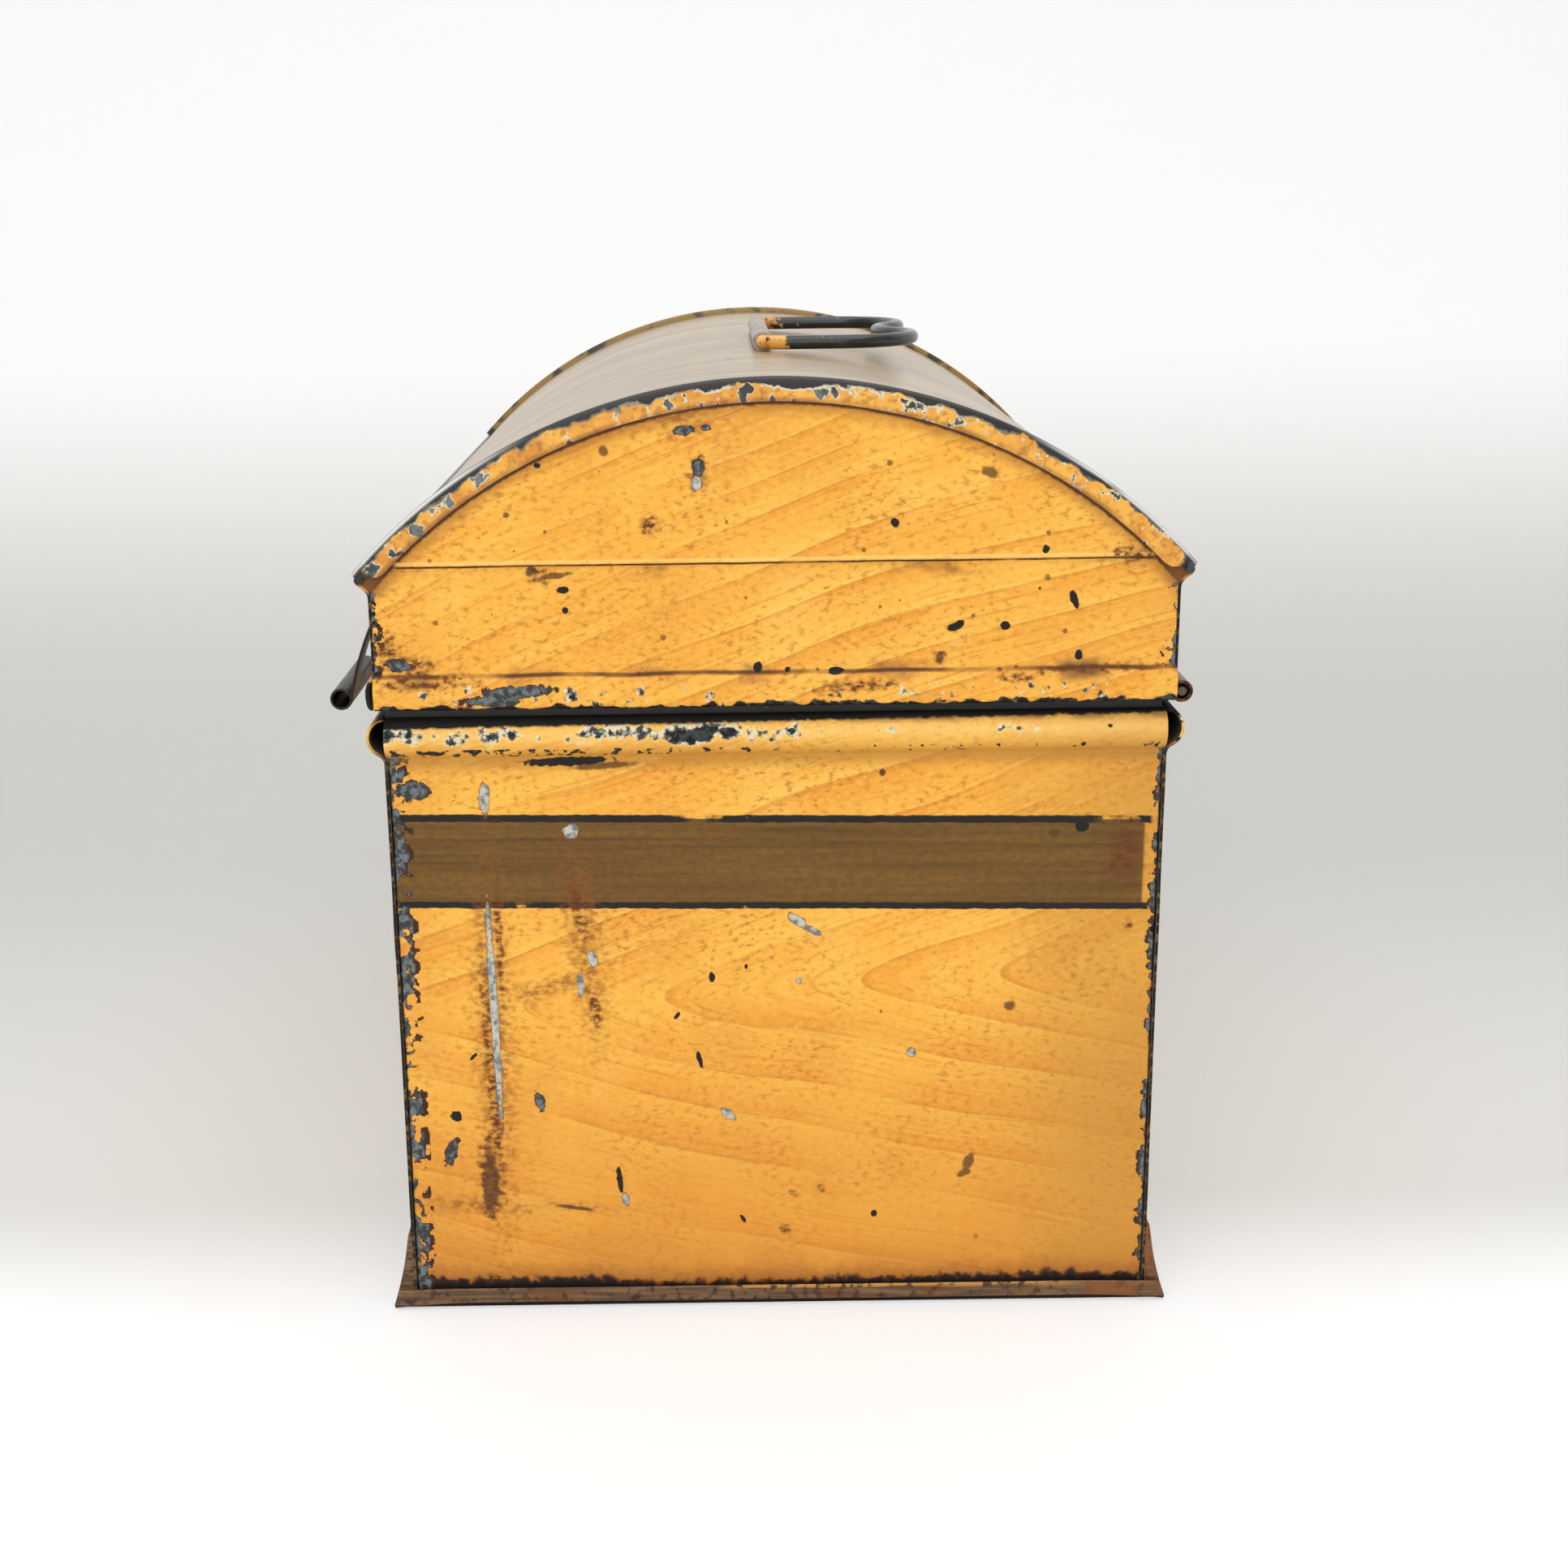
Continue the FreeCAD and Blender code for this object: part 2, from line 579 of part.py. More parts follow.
def handle_bail():
    """Wire bail: ends turned into the clip, two lobes and a dip for the fingers in the grip."""
    body = new_body("handle_bail")
    arm = "(Sizes.bail_span / 2)"
    lobe_x = f"({arm} - Sizes.bail_lobe)"
    lobe_y = "(Sizes.bail_reach - Sizes.bail_lobe)"
    both = f"(({lobe_x}^2 + Sizes.bail_dip^2) / (2 * Sizes.bail_dip))"
    touch_x = f"({lobe_x} * (1 - Sizes.bail_lobe / {both}))"
    touch_y = f"({lobe_y} + ({both} - Sizes.bail_dip) * Sizes.bail_lobe / {both})"
    bend_x = f"({arm} - Sizes.bail_bend)"
    corner = (f"({bend_x} + Sizes.bail_bend * sqrt(0.5))", "(Sizes.bail_bend * (1 - sqrt(0.5)))")
    start = f"({arm} - Sizes.bail_tail)"
    route = [
        (start, "0"),
        (bend_x, "0", corner),
        (arm, "Sizes.bail_bend"),
        (arm, lobe_y, (lobe_x, "Sizes.bail_reach")),
        (touch_x, touch_y, ("0", "(Sizes.bail_reach - Sizes.bail_dip)")),
        (f"(-{touch_x})", touch_y, (f"(-{lobe_x})", "Sizes.bail_reach")),
        (f"(-{arm})", lobe_y),
        (f"(-{arm})", "Sizes.bail_bend", (f"(-{corner[0]})", corner[1])),
        (f"(-{bend_x})", "0"),
        (f"(-{start})", "0"),
    ]
    sweep_wire(body, "bail", route, start, "0", "Sizes.bail_wire")
    body.setExpression("Placement.Base.z", BAIL_Z)
    return body


def hasp_leaf():
    """Fixed hinge leaf on the lid front, with a knuckle at each side of the flap's own."""
    body = new_body("hasp_leaf")
    wall = f"(-{LID_HALF_WIDTH})"
    face = f"(-({LID_HALF_WIDTH} + {GAUGE}))"
    plate = new_sketch(body, "leaf_plate", "YZ_Plane")
    draw_path(plate, rectangle(face, wall, f"({HASP_Z} - Sizes.leaf_drop)", HASP_Z))
    pad(body, plate, "Sizes.hasp_width")
    roll = new_sketch(body, "leaf_roll", "YZ_Plane")
    draw_circle(roll, HASP_Y, HASP_Z, HASP_ROLL)
    draw_circle(roll, HASP_Y, HASP_Z, HASP_BORE)
    pad(body, roll, "Sizes.hasp_width")
    gap = new_sketch(body, "leaf_gap", "XZ_Plane")
    half = "(Sizes.hasp_knuckle / 2 + Sizes.knuckle_play)"
    draw_path(gap, rectangle(f"(-{half})", half, f"({HASP_Z} - {HASP_ROLL} - 2 * Sizes.knuckle_play)",
                             f"({HASP_Z} + 2 * {HASP_ROLL})"))
    cut_through(body, gap)
    holes = new_sketch(body, "leaf_holes", "XZ_Plane")
    rivet_holes(holes, RIVET_Z)
    cut_through(body, holes)
    return body


def hasp_pin():
    pin = doc.addObject("Part::Cylinder", "hasp_pin")
    pin.Label = "hasp_pin"
    pin.setExpression("Radius", "Sizes.hasp_pin / 2")
    pin.setExpression("Height", "Sizes.hasp_width")
    pin.Placement = FreeCAD.Placement(FreeCAD.Vector(), FreeCAD.Rotation(FreeCAD.Vector(0, 1, 0), 90))
    pin.setExpression("Placement.Base.x", "-Sizes.hasp_width / 2")
    pin.setExpression("Placement.Base.y", HASP_Y)
    pin.setExpression("Placement.Base.z", HASP_Z)
    return pin


def rivet(label, side):
    """Rivet with a domed head outside and a flat burr inside, turned about the shank."""
    body = new_body(label)
    grip = f"(2 * {GAUGE})"
    shank = "(Sizes.rivet_size / 2)"
    head = "(Sizes.rivet_head / 2)"
    burr = f"({grip} + {GAUGE})"
    profile = new_sketch(body, f"{label}_profile", "XZ_Plane")
    draw_path(profile, [
        ("0", f"(-{shank})", (f"({head} * sqrt(0.5))", f"(-{shank} * sqrt(0.5))")),
        (head, "0"),
        (shank, "0"),
        (shank, grip),
        (head, grip),
        (head, burr),
        ("0", burr),
    ])
    turn = body.newObject("PartDesign::Revolution", f"{label}_turn")
    turn.Profile = profile
    turn.ReferenceAxis = (profile, ["V_Axis"])
    turn.Angle = 360
    body.Placement = FreeCAD.Placement(FreeCAD.Vector(), FreeCAD.Rotation(FreeCAD.Vector(1, 0, 0), -90))
    body.setExpression("Placement.Base.x", facing(side, "(Sizes.rivet_spacing / 2)"))
    body.setExpression("Placement.Base.y", f"-({LID_HALF_WIDTH} + {GAUGE})")
    body.setExpression("Placement.Base.z", RIVET_Z)
    return body


def hasp_rivets():
    group = doc.addObject("Part::Compound", "hasp_rivets")
    group.Label = "hasp_rivets"
    group.Links = [rivet("rivet_right", 1), rivet("rivet_left", -1)]
    return group


def hasp_flap():
    """Bowed hasp flap: knuckle on the pin, slot for the staple, lower end curled outward."""
    body = new_body("hasp_flap")
    near = f"(-{HASP_BORE})"
    far = f"(-{HASP_ROLL})"
    end_near = f"(-({HASP_BORE} + Sizes.hasp_kick))"
    end_far = f"(-({HASP_ROLL} + Sizes.hasp_kick))"
    low = "(-Sizes.hasp_drop)"
    bow = "(-Sizes.hasp_drop / 2)"
    strap = new_sketch(body, "flap_strap", "YZ_Plane")
    draw_path(strap, [
        (near, "0", (f"(-({HASP_BORE} + Sizes.hasp_kick / 2 + Sizes.hasp_bow))", bow)),
        (end_near, low),
        (end_far, low, (f"(-({HASP_ROLL} + Sizes.hasp_kick / 2 + Sizes.hasp_bow))", bow)),
        (far, "0"),
    ])
    pad(body, strap, "Sizes.hasp_width")
    curl = new_sketch(body, "flap_curl", "YZ_Plane")
    curl_y = f"({end_near} - Sizes.hasp_curl / 2)"
    draw_circle(curl, curl_y, low, "(Sizes.hasp_curl / 2)")
    draw_circle(curl, curl_y, low, f"(Sizes.hasp_curl / 2 - {GAUGE})")
    pad(body, curl, "Sizes.hasp_width")
    clear = new_sketch(body, "flap_clear", "XZ_Plane")
    half = "(Sizes.hasp_knuckle / 2)"
    edge = "(Sizes.hasp_width / 2 + Sizes.knuckle_play)"
    above = f"({HASP_ROLL} + Sizes.knuckle_play)"
    for side in (1, -1):
        draw_path(clear, rectangle(facing(side, half), facing(side, edge), f"(-{above})", above))
    cut_through(body, clear)
    knuckle = new_sketch(body, "flap_knuckle", "YZ_Plane")
    draw_circle(knuckle, "0", "0", HASP_ROLL)
    draw_circle(knuckle, "0", "0", HASP_BORE)
    pad(body, knuckle, "Sizes.hasp_knuckle")
    slot = new_sketch(body, "flap_slot", "XZ_Plane")
    slot_half = "(Sizes.slot_wide / 2)"
    draw_path(slot, rectangle(f"(-{slot_half})", slot_half, "(-(Sizes.slot_drop + Sizes.slot_tall / 2))",
                              "(-(Sizes.slot_drop - Sizes.slot_tall / 2))"))
    cut_through(body, slot)
    body.Placement = FreeCAD.Placement(FreeCAD.Vector(), FreeCAD.Rotation(FreeCAD.Vector(-1, 0, 0), 1))
    body.setExpression("Placement.Rotation.Angle", "Sizes.hasp_angle")
    body.setExpression("Placement.Base.y", HASP_Y)
    body.setExpression("Placement.Base.z", HASP_Z)
    return body


def hasp_staple():
    """Wire staple through the front wall, its ends clinched flat inside."""
    body = new_body("hasp_staple")
    half = "(Sizes.staple_span / 2)"
    bend = "Sizes.staple_bend"
    inside = f"(-({HALF_WIDTH} - {GAUGE} - {bend}))"
    wall = f"({inside} - {bend})"
    loop = f"(-({HALF_WIDTH} + Sizes.staple_reach))"
    turn = f"({half} + {bend})"
    tip = f"({half} + Sizes.staple_clinch)"
    corner = (f"({turn} - {bend} * sqrt(0.5))", f"({wall} + {bend} * (1 - (1 - sqrt(0.5))))")
    route = [
        (tip, inside),
        (turn, inside, corner),
        (half, wall),
        (half, f"({loop} + {half})", ("0", loop)),
        (f"(-{half})", f"({loop} + {half})"),
        (f"(-{half})", wall, (f"(-{corner[0]})", corner[1])),
        (f"(-{turn})", inside),
        (f"(-{tip})", inside),
    ]
    sweep_wire(body, "staple", route, tip, inside, "Sizes.staple_wire")
    body.setExpression("Placement.Base.z", STAPLE_Z)
    return body


front_panel = base_long_panel("base_front_panel", -1)
staple_holes = new_sketch(front_panel, "staple_holes", "XZ_Plane")
for staple_leg in (1, -1):
    draw_circle(staple_holes, facing(staple_leg, "(Sizes.staple_span / 2)"), STAPLE_Z,
                "(Sizes.staple_wire / 2 + Sizes.seat_gap)")
cut_through(front_panel, staple_holes)

LONG_COLLAR = f"Sizes.base_length - 2 * {GAUGE}"
SHORT_COLLAR = f"Sizes.base_width - 4 * {GAUGE}"
COLLAR_TOP = f"({BEAD_TOP} + Sizes.collar_rise)"

nodes = [
    front_panel,
    base_long_panel("base_back_panel", 1),
    base_end_panel("base_right_end", 1),
    base_end_panel("base_left_end", -1),
    bottom_tray(),
    collar_strip("collar_front", "YZ_Plane", -1, HALF_WIDTH, LONG_COLLAR, COLLAR_TOP),
    collar_strip("collar_back", "YZ_Plane", 1, HALF_WIDTH, LONG_COLLAR, BEAD_TOP),
    collar_strip("collar_right", "XZ_Plane", 1, HALF_LENGTH, SHORT_COLLAR, COLLAR_TOP),
    collar_strip("collar_left", "XZ_Plane", -1, HALF_LENGTH, SHORT_COLLAR, COLLAR_TOP),
    hinge_strap("hinge_strap_right", 1),
    hinge_strap("hinge_strap_left", -1),
    hasp_staple(),
    lid_front_wall(),
    lid_back_wall(),
    lid_end_wall("lid_right_end_wall", 1),
    lid_end_wall("lid_left_end_wall", -1),
    lid_end_arch("lid_right_end_arch", 1),
    lid_end_arch("lid_left_end_arch", -1),
    lid_dome(),
    hinge_wire(),
    handle_clip(),
    hasp_leaf(),
    hasp_pin(),
    hasp_rivets(),
    hasp_flap(),
    handle_bail(),
]

doc.recompute()
failed = [item.Name for item in doc.Objects if {"Invalid", "Error"} & set(item.State)]
broken = [node.Label for node in nodes if node.Shape.isNull() or not node.Shape.isValid()]
if failed or broken:
    raise RuntimeError(f"failed: {failed}, not valid: {broken}")

os.makedirs("parts", exist_ok=True)
for node in nodes:
    node.Shape.exportStep(os.path.join("parts", f"{node.Label}.step"))
    box = node.Shape.BoundBox
    print(f"{node.Label}: {len(node.Shape.Solids)} solid, {node.Shape.Volume:.1f} mm3, "
          f"X {box.XMin:.2f} to {box.XMax:.2f}, Y {box.YMin:.2f} to {box.YMax:.2f}, "
          f"Z {box.ZMin:.2f} to {box.ZMax:.2f}")
print(f"hinge axis Y {measure(HINGE_Y):.3f} Z {measure(HINGE_Z):.3f}")
print(f"hasp axis Y {measure(HASP_Y):.3f} Z {measure(HASP_Z):.3f}")
print(f"bail axis Z {measure(BAIL_Z):.3f}")
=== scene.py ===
import math

import bmesh
import bpy
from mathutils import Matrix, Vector
from mathutils.noise import noise as rough_noise


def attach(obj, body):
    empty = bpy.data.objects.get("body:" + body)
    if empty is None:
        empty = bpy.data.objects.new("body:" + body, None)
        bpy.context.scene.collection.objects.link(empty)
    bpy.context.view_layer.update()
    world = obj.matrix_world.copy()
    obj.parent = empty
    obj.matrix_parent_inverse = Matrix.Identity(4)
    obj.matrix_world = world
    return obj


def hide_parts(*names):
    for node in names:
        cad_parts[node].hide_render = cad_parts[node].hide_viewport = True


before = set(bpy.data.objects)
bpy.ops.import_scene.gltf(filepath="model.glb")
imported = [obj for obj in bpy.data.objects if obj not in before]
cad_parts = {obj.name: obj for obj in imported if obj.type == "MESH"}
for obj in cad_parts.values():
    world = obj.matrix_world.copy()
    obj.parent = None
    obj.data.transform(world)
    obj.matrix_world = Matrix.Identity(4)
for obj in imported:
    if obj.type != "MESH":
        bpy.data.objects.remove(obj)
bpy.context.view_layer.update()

MM = 0.001

# Sizes of the trunk in millimetres, the same as in the part's source.
GAUGE = 0.5
EDGE_ROUND = 0.12
BASE_HALF_LENGTH = 101.0
BASE_HALF_WIDTH = 62.0
WALL_RISE = 96.4
BEAD_TALL = 6.6
BEAD_PROUD = 2.7
BEAD_TOP = WALL_RISE + BEAD_TALL
PLINTH_RISE = 13.4
PLINTH_OUT = 3.5
FLANGE_OUT = 1.1
LID_LOW = BEAD_TOP + 1.4
LID_HALF_LENGTH = BASE_HALF_LENGTH + 1.0
LID_HALF_WIDTH = BASE_HALF_WIDTH + 1.0
RIM_TALL = 5.4
RIM_PROUD = 1.2
COVE_LOW = LID_LOW + 17.8
COVE_TOP = COVE_LOW + 2.2
COVE_OUT = 1.8
COVE_CURVE = 2.2
EAVE = COVE_LOW + 4.0
EAVE_HALF = LID_HALF_WIDTH + 2.2
EAVE_ROLL = 1.4
DOME_RISE = 29.2
SEAM_RAISE = 1.2
SEAM_LAP = 2.4
SEAM_BORDER = 3.2
RIM_RADIUS = (EAVE_HALF ** 2 + DOME_RISE ** 2) / (2 * DOME_RISE)
DOME_AXIS = EAVE + DOME_RISE - RIM_RADIUS
TOP_RADIUS = RIM_RADIUS - SEAM_RAISE
LINING_RADIUS = TOP_RADIUS - GAUGE - 0.1
DOME_HALF_LENGTH = LID_HALF_LENGTH + 2 * GAUGE
ARC_HALF_ANGLE = math.asin(EAVE_HALF / RIM_RADIUS)
LAP_LINE = EAVE + 1.0
LAP_TOP = LAP_LINE + 4.0
HINGE_WIRE = 1.4
HINGE_ROLL = HINGE_WIRE / 2 + 0.05 + GAUGE
HINGE_Y = LID_HALF_WIDTH - GAUGE + HINGE_ROLL
HINGE_Z = LID_LOW + HINGE_ROLL + 0.15
STRAP_HALF_GAP = 7.5
STRAP_SPACING = 120.0
NOTCH_TOP = LID_LOW + 4.2
BAIL_WIRE = 2.5
BAIL_ARM = 30.5
BAIL_REACH = 28.4
BAIL_LOBE = 14.0
BAIL_DIP = 5.4
BAIL_BEND = 3.0
BAIL_TAIL = 14.0
BAIL_Z = DOME_AXIS + TOP_RADIUS + BAIL_WIRE / 2 + 0.15
CLIP_HALF = 27.0
HASP_HALF = 16.0
HASP_DROP = 36.5
HASP_BOW = 2.6
HASP_KICK = 1.6
HASP_CURL = 4.4
HASP_LEAN = math.radians(24)
HASP_BORE = 1.8 / 2 + 0.05
HASP_ROLL = HASP_BORE + GAUGE
HASP_Y = -(LID_HALF_WIDTH + HASP_ROLL)
HASP_Z = LID_LOW + 13.6
HASP_KNUCKLE = 6.0
SLOT_HALF = 8.5
SLOT_DROP = 28.0
SLOT_TALL = 8.0
STAPLE_Z = HASP_Z - SLOT_DROP
STAPLE_WIRE = 2.2
STAPLE_HALF = 5.5
STAPLE_TIP = -(BASE_HALF_WIDTH + 11.5)
STAPLE_BEND = 1.5
STAPLE_CLINCH = 6.0
RIVET_SPACING = 22.0
RIVET_HEAD = 3.6
RIVET_RISE = 1.0
RIVET_Z = HASP_Z - 4.2
BAND_TOP = 85.6
BAND_LOW = 71.0


class Value:
    """A socket whose arithmetic adds Math nodes to its tree."""

    def __init__(self, nodes, socket):
        self.nodes = nodes
        self.socket = socket

    def out(self, name):
        """Another output of the same node."""
        return Value(self.nodes, self.socket.node.outputs[name])

    def math(self, operation, *terms):
        return self.nodes.add("ShaderNodeMath", {"operation": operation}, dict(enumerate(terms)))

    def __abs__(self):
        return self.math("ABSOLUTE", self)

    def least(self, other):
        return self.math("MINIMUM", self, other)

    def most(self, other):
        return self.math("MAXIMUM", self, other)

    def fraction(self):
        return self.math("FRACT", self)

    def ease(self, start, stop):
        """0 at start, 1 at stop and past it, eased between; start may be the higher."""
        return self.nodes.add("ShaderNodeMapRange", {"interpolation_type": "SMOOTHSTEP"},
                              {"Value": self, "From Min": start, "From Max": stop})

    def between(self, low, high, soft):
        """1 from low to high, fading over soft at each side."""
        return self.ease(low - soft, low + soft) * self.ease(high + soft, high - soft)


# Plus, minus, times, divided by and to the power of, with the value on either side
for word, operation in (("add", "ADD"), ("sub", "SUBTRACT"), ("mul", "MULTIPLY"), ("truediv", "DIVIDE"),
                        ("pow", "POWER")):
    setattr(Value, f"__{word}__", lambda self, other, kind=operation: self.math(kind, self, other))
    setattr(Value, f"__r{word}__", lambda self, other, kind=operation: self.math(kind, other, self))


class Nodes:
    """A node tree under construction."""

    def __init__(self, tree):
        self.tree = tree

    def add(self, kind, settings=None, inputs=None, out=0):
        node = self.tree.nodes.new(kind)
        for key, setting in (settings or {}).items():
            setattr(node, key, setting)
        for key, term in (inputs or {}).items():
            self.feed(node.inputs[key], term)
        return Value(self, node.outputs[out])

    def feed(self, socket, term):
        if isinstance(term, Value):
            self.tree.links.new(term.socket, socket)
        elif socket.type == "RGBA":
            socket.default_value = (*term, 1.0)
        else:
            socket.default_value = term

    def vector(self, x, y, z):
        return self.add("ShaderNodeCombineXYZ", inputs={0: x, 1: y, 2: z})


def tone(red, green, blue):
    """Linear colour from the usual 0 to 255 numbers."""
    def linear(part):
        part /= 255
        return part / 12.92 if part <= 0.04045 else ((part + 0.055) / 1.055) ** 2.4
    return (linear(red), linear(green), linear(blue))


TIN = tone(112, 119, 121)
DARK_TIN = tone(58, 62, 62)
PRIMER = tone(222, 212, 180)
RUST = tone(118, 64, 26)
DARK_RUST = tone(62, 35, 24)
NEAR_BLACK = tone(24, 20, 17)
OLD_FOLD = tone(112, 86, 44)


class Finish(Nodes):
    """The paint and wear of one surface, laid on coat by coat; places are in millimetres."""

    def __init__(self, name, colour, rough, metal=0.0):
        self.material = bpy.data.materials.new(name)
        self.material.use_nodes = True
        self.material.node_tree.nodes.clear()
        super().__init__(self.material.node_tree)
        spot = self.add("ShaderNodeTexCoord", out="Object")
        self.place = self.add("ShaderNodeVectorMath", {"operation": "SCALE"}, {"Vector": spot, "Scale": 1 / MM})
        apart = self.add("ShaderNodeSeparateXYZ", inputs={0: self.place})
        self.x, self.y, self.z = apart, apart.out("Y"), apart.out("Z")
        self.u, self.v = self.y, self.z
        self.colour = colour
        self.rough = rough
        self.metal = metal
        self.height = 0.0
        self.ragged = self.noise(1.1, 11.0, 3.0)
        self.speck = 1.0

    def scaled(self, size, shift, place):
        """A place counted in lumps of a size and shifted, so that no two patterns repeat each other."""
        return self.add("ShaderNodeMapping", {}, {"Vector": place, "Location": shift, "Scale": (1 / size,) * 3})

    def noise(self, size, seed, detail, place=None):
        """Cloudy variation, 0 to 1 about a middle of 0.5, in lumps of a size in millimetres."""
        moved = self.scaled(size, (seed, 1.7 * seed, 2.3 * seed), place or self.place)
        return self.add("ShaderNodeTexNoise", {}, {"Vector": moved, "Scale": 1.0, "Detail": detail})

    def streaks(self, across, along, width, length, seed, detail):
        """Fine brush streaks: variation that runs long one way and is narrow the other."""
        return self.noise(1.0, seed, detail, self.vector(across / width, along / length, seed))

    def flecks(self, size, share, seed, reach):
        """Scattered spots up to a reach in millimetres: about one in a cell of the size, in a share of the cells."""
        moved = self.scaled(size, (seed, seed, seed), self.place)
        cells = self.add("ShaderNodeTexVoronoi", {}, {"Vector": moved, "Scale": 1.0})
        chance = self.add("ShaderNodeSeparateColor", inputs={0: cells.out("Color")})
        radius = chance.out("Green") ** 2.0 * reach + 0.1
        near = cells * size / radius + (self.ragged - 0.5) * 1.2
        return near.ease(1.15, 0.8) * chance.ease(share + 0.01, share - 0.01)

    def blend(self, share, first, second):
        return self.add("ShaderNodeMix", {"data_type": "RGBA"}, {0: share, 6: first, 7: second}, out=2)

    def over(self, share, colour, rough=None, metal=None):
        """Lay a colour over a share of the surface, with its gloss and metal."""
        self.colour = self.blend(share, self.colour, colour)
        if rough is not None:
            self.rough = self.rough + share * (rough - self.rough)
        if metal is not None:
            self.metal = self.metal + share * (metal - self.metal)

    def nearest(self, spots):
        """How far off the nearest of some spots is, in its own half sizes; each is a place, half sizes and a turn."""
        flat = self.vector(self.u, self.v, 0.0)
        least = None
        for u, v, long, wide, *turn in spots:
            own = self.add("ShaderNodeMapping", {"vector_type": "TEXTURE"}, {
                "Vector": flat, "Location": (u, v, 0.0), "Rotation": (0.0, 0.0, math.radians(sum(turn))),
                "Scale": (long, wide, 1.0)})
            away = self.add("ShaderNodeVectorMath", {"operation": "LENGTH"}, {0: own}, out="Value")
            least = least.least(away) if least else away
        return least

    def marks(self, kinds):
        """Knocks, spots and stains in the paint, all of a kind at once."""
        nearest = {kind: self.nearest(spots) for kind, spots in kinds.items()}
        chipped = self.blend(self.ragged.ease(0.4, 0.6), DARK_TIN, TIN)
        primed = self.blend(self.ragged.ease(0.35, 0.6), TIN, tone(196, 194, 178))
        for kind, rag, start, stop, share, colour, rough, metal in (
                ("stain", 0.8, 1.6, 0.2, 0.7, tone(140, 80, 26), 0.6, None),
                ("rust", 0.9, 1.35, 0.4, 1.0, tone(104, 54, 22), 0.75, None),
                ("brown", 0.6, 1.2, 0.7, 0.85, tone(92, 58, 28), 0.7, None),
                ("tin", 0.8, 1.15, 1.0, 1.0, DARK_RUST, 0.75, None),
                ("tin", 0.8, 0.98, 0.85, 1.0, chipped, 0.45, 0.4),
                ("pale", 0.6, 1.12, 1.0, 0.8, RUST, 0.7, None),
                ("pale", 0.6, 1.0, 0.88, 1.0, primed, 0.5, 0.2),
                ("dark", 0.6, 1.12, 0.92, 1.0, NEAR_BLACK, 0.6, None)):
            if kind in nearest:
                away = nearest[kind] + (self.ragged - 0.5) * (2 * rag)
                broken = self.speck if kind in ("stain", "rust") else 1.0
                self.over(away.ease(start, stop) * share * broken, colour, rough, metal)

    def worn(self, away, width, seed, size):
        """Share worn off near an edge, ragged, up to a width in millimetres from it."""
        lumps = self.noise(size, seed, 2.0) * 0.55 + self.noise(0.3 * size, seed + 1, 3.0) * 0.45
        return (lumps.ease(0.4, 0.62) * width - away).ease(-0.08, 0.22)

    def worn_edges(self, half, widths, seed, size, spread, where, chipped, fold, fold_reach):
        """Both upright edges of a wall: tin with a rusty rim where the paint is gone, and a dark line at the fold."""
        for away, width, shift in ((self.u + half, widths[0], 0), (half - self.u, widths[1], 5)):
            self.over(self.worn(away, width * spread + 0.3, seed + shift, size) * where, DARK_RUST, 0.7)
            self.over(self.worn(away, width, seed + shift, size) * where, chipped, 0.45, 0.3)
            self.over(away.ease(*fold_reach) * where, fold, 0.5)

    def done(self, coat=0.0, coat_rough=0.15, level=0.5):
        shader = self.tree.nodes.new("ShaderNodeBsdfPrincipled")
        self.feed(shader.inputs["Base Color"], self.colour)
        self.feed(shader.inputs["Roughness"], self.rough)
        self.feed(shader.inputs["Metallic"], self.metal)
        self.feed(shader.inputs["Coat Weight"], coat)
        shader.inputs["Coat Roughness"].default_value = coat_rough
        shader.inputs["Specular IOR Level"].default_value = level
        if isinstance(self.height, Value):
            self.feed(shader.inputs["Normal"], self.add("ShaderNodeBump", {}, {"Height": self.height, "Distance": MM}))
        return self.shown(shader.outputs[0])

    def shown(self, shader):
        end = self.tree.nodes.new("ShaderNodeOutputMaterial")
        self.tree.links.new(shader, end.inputs["Surface"])
        return self.material


# Grained yellow paint

STRAW = tone(250, 188, 74)
AMBER = tone(244, 170, 56)
ORANGE = tone(232, 148, 40)
UMBER = tone(170, 104, 32)


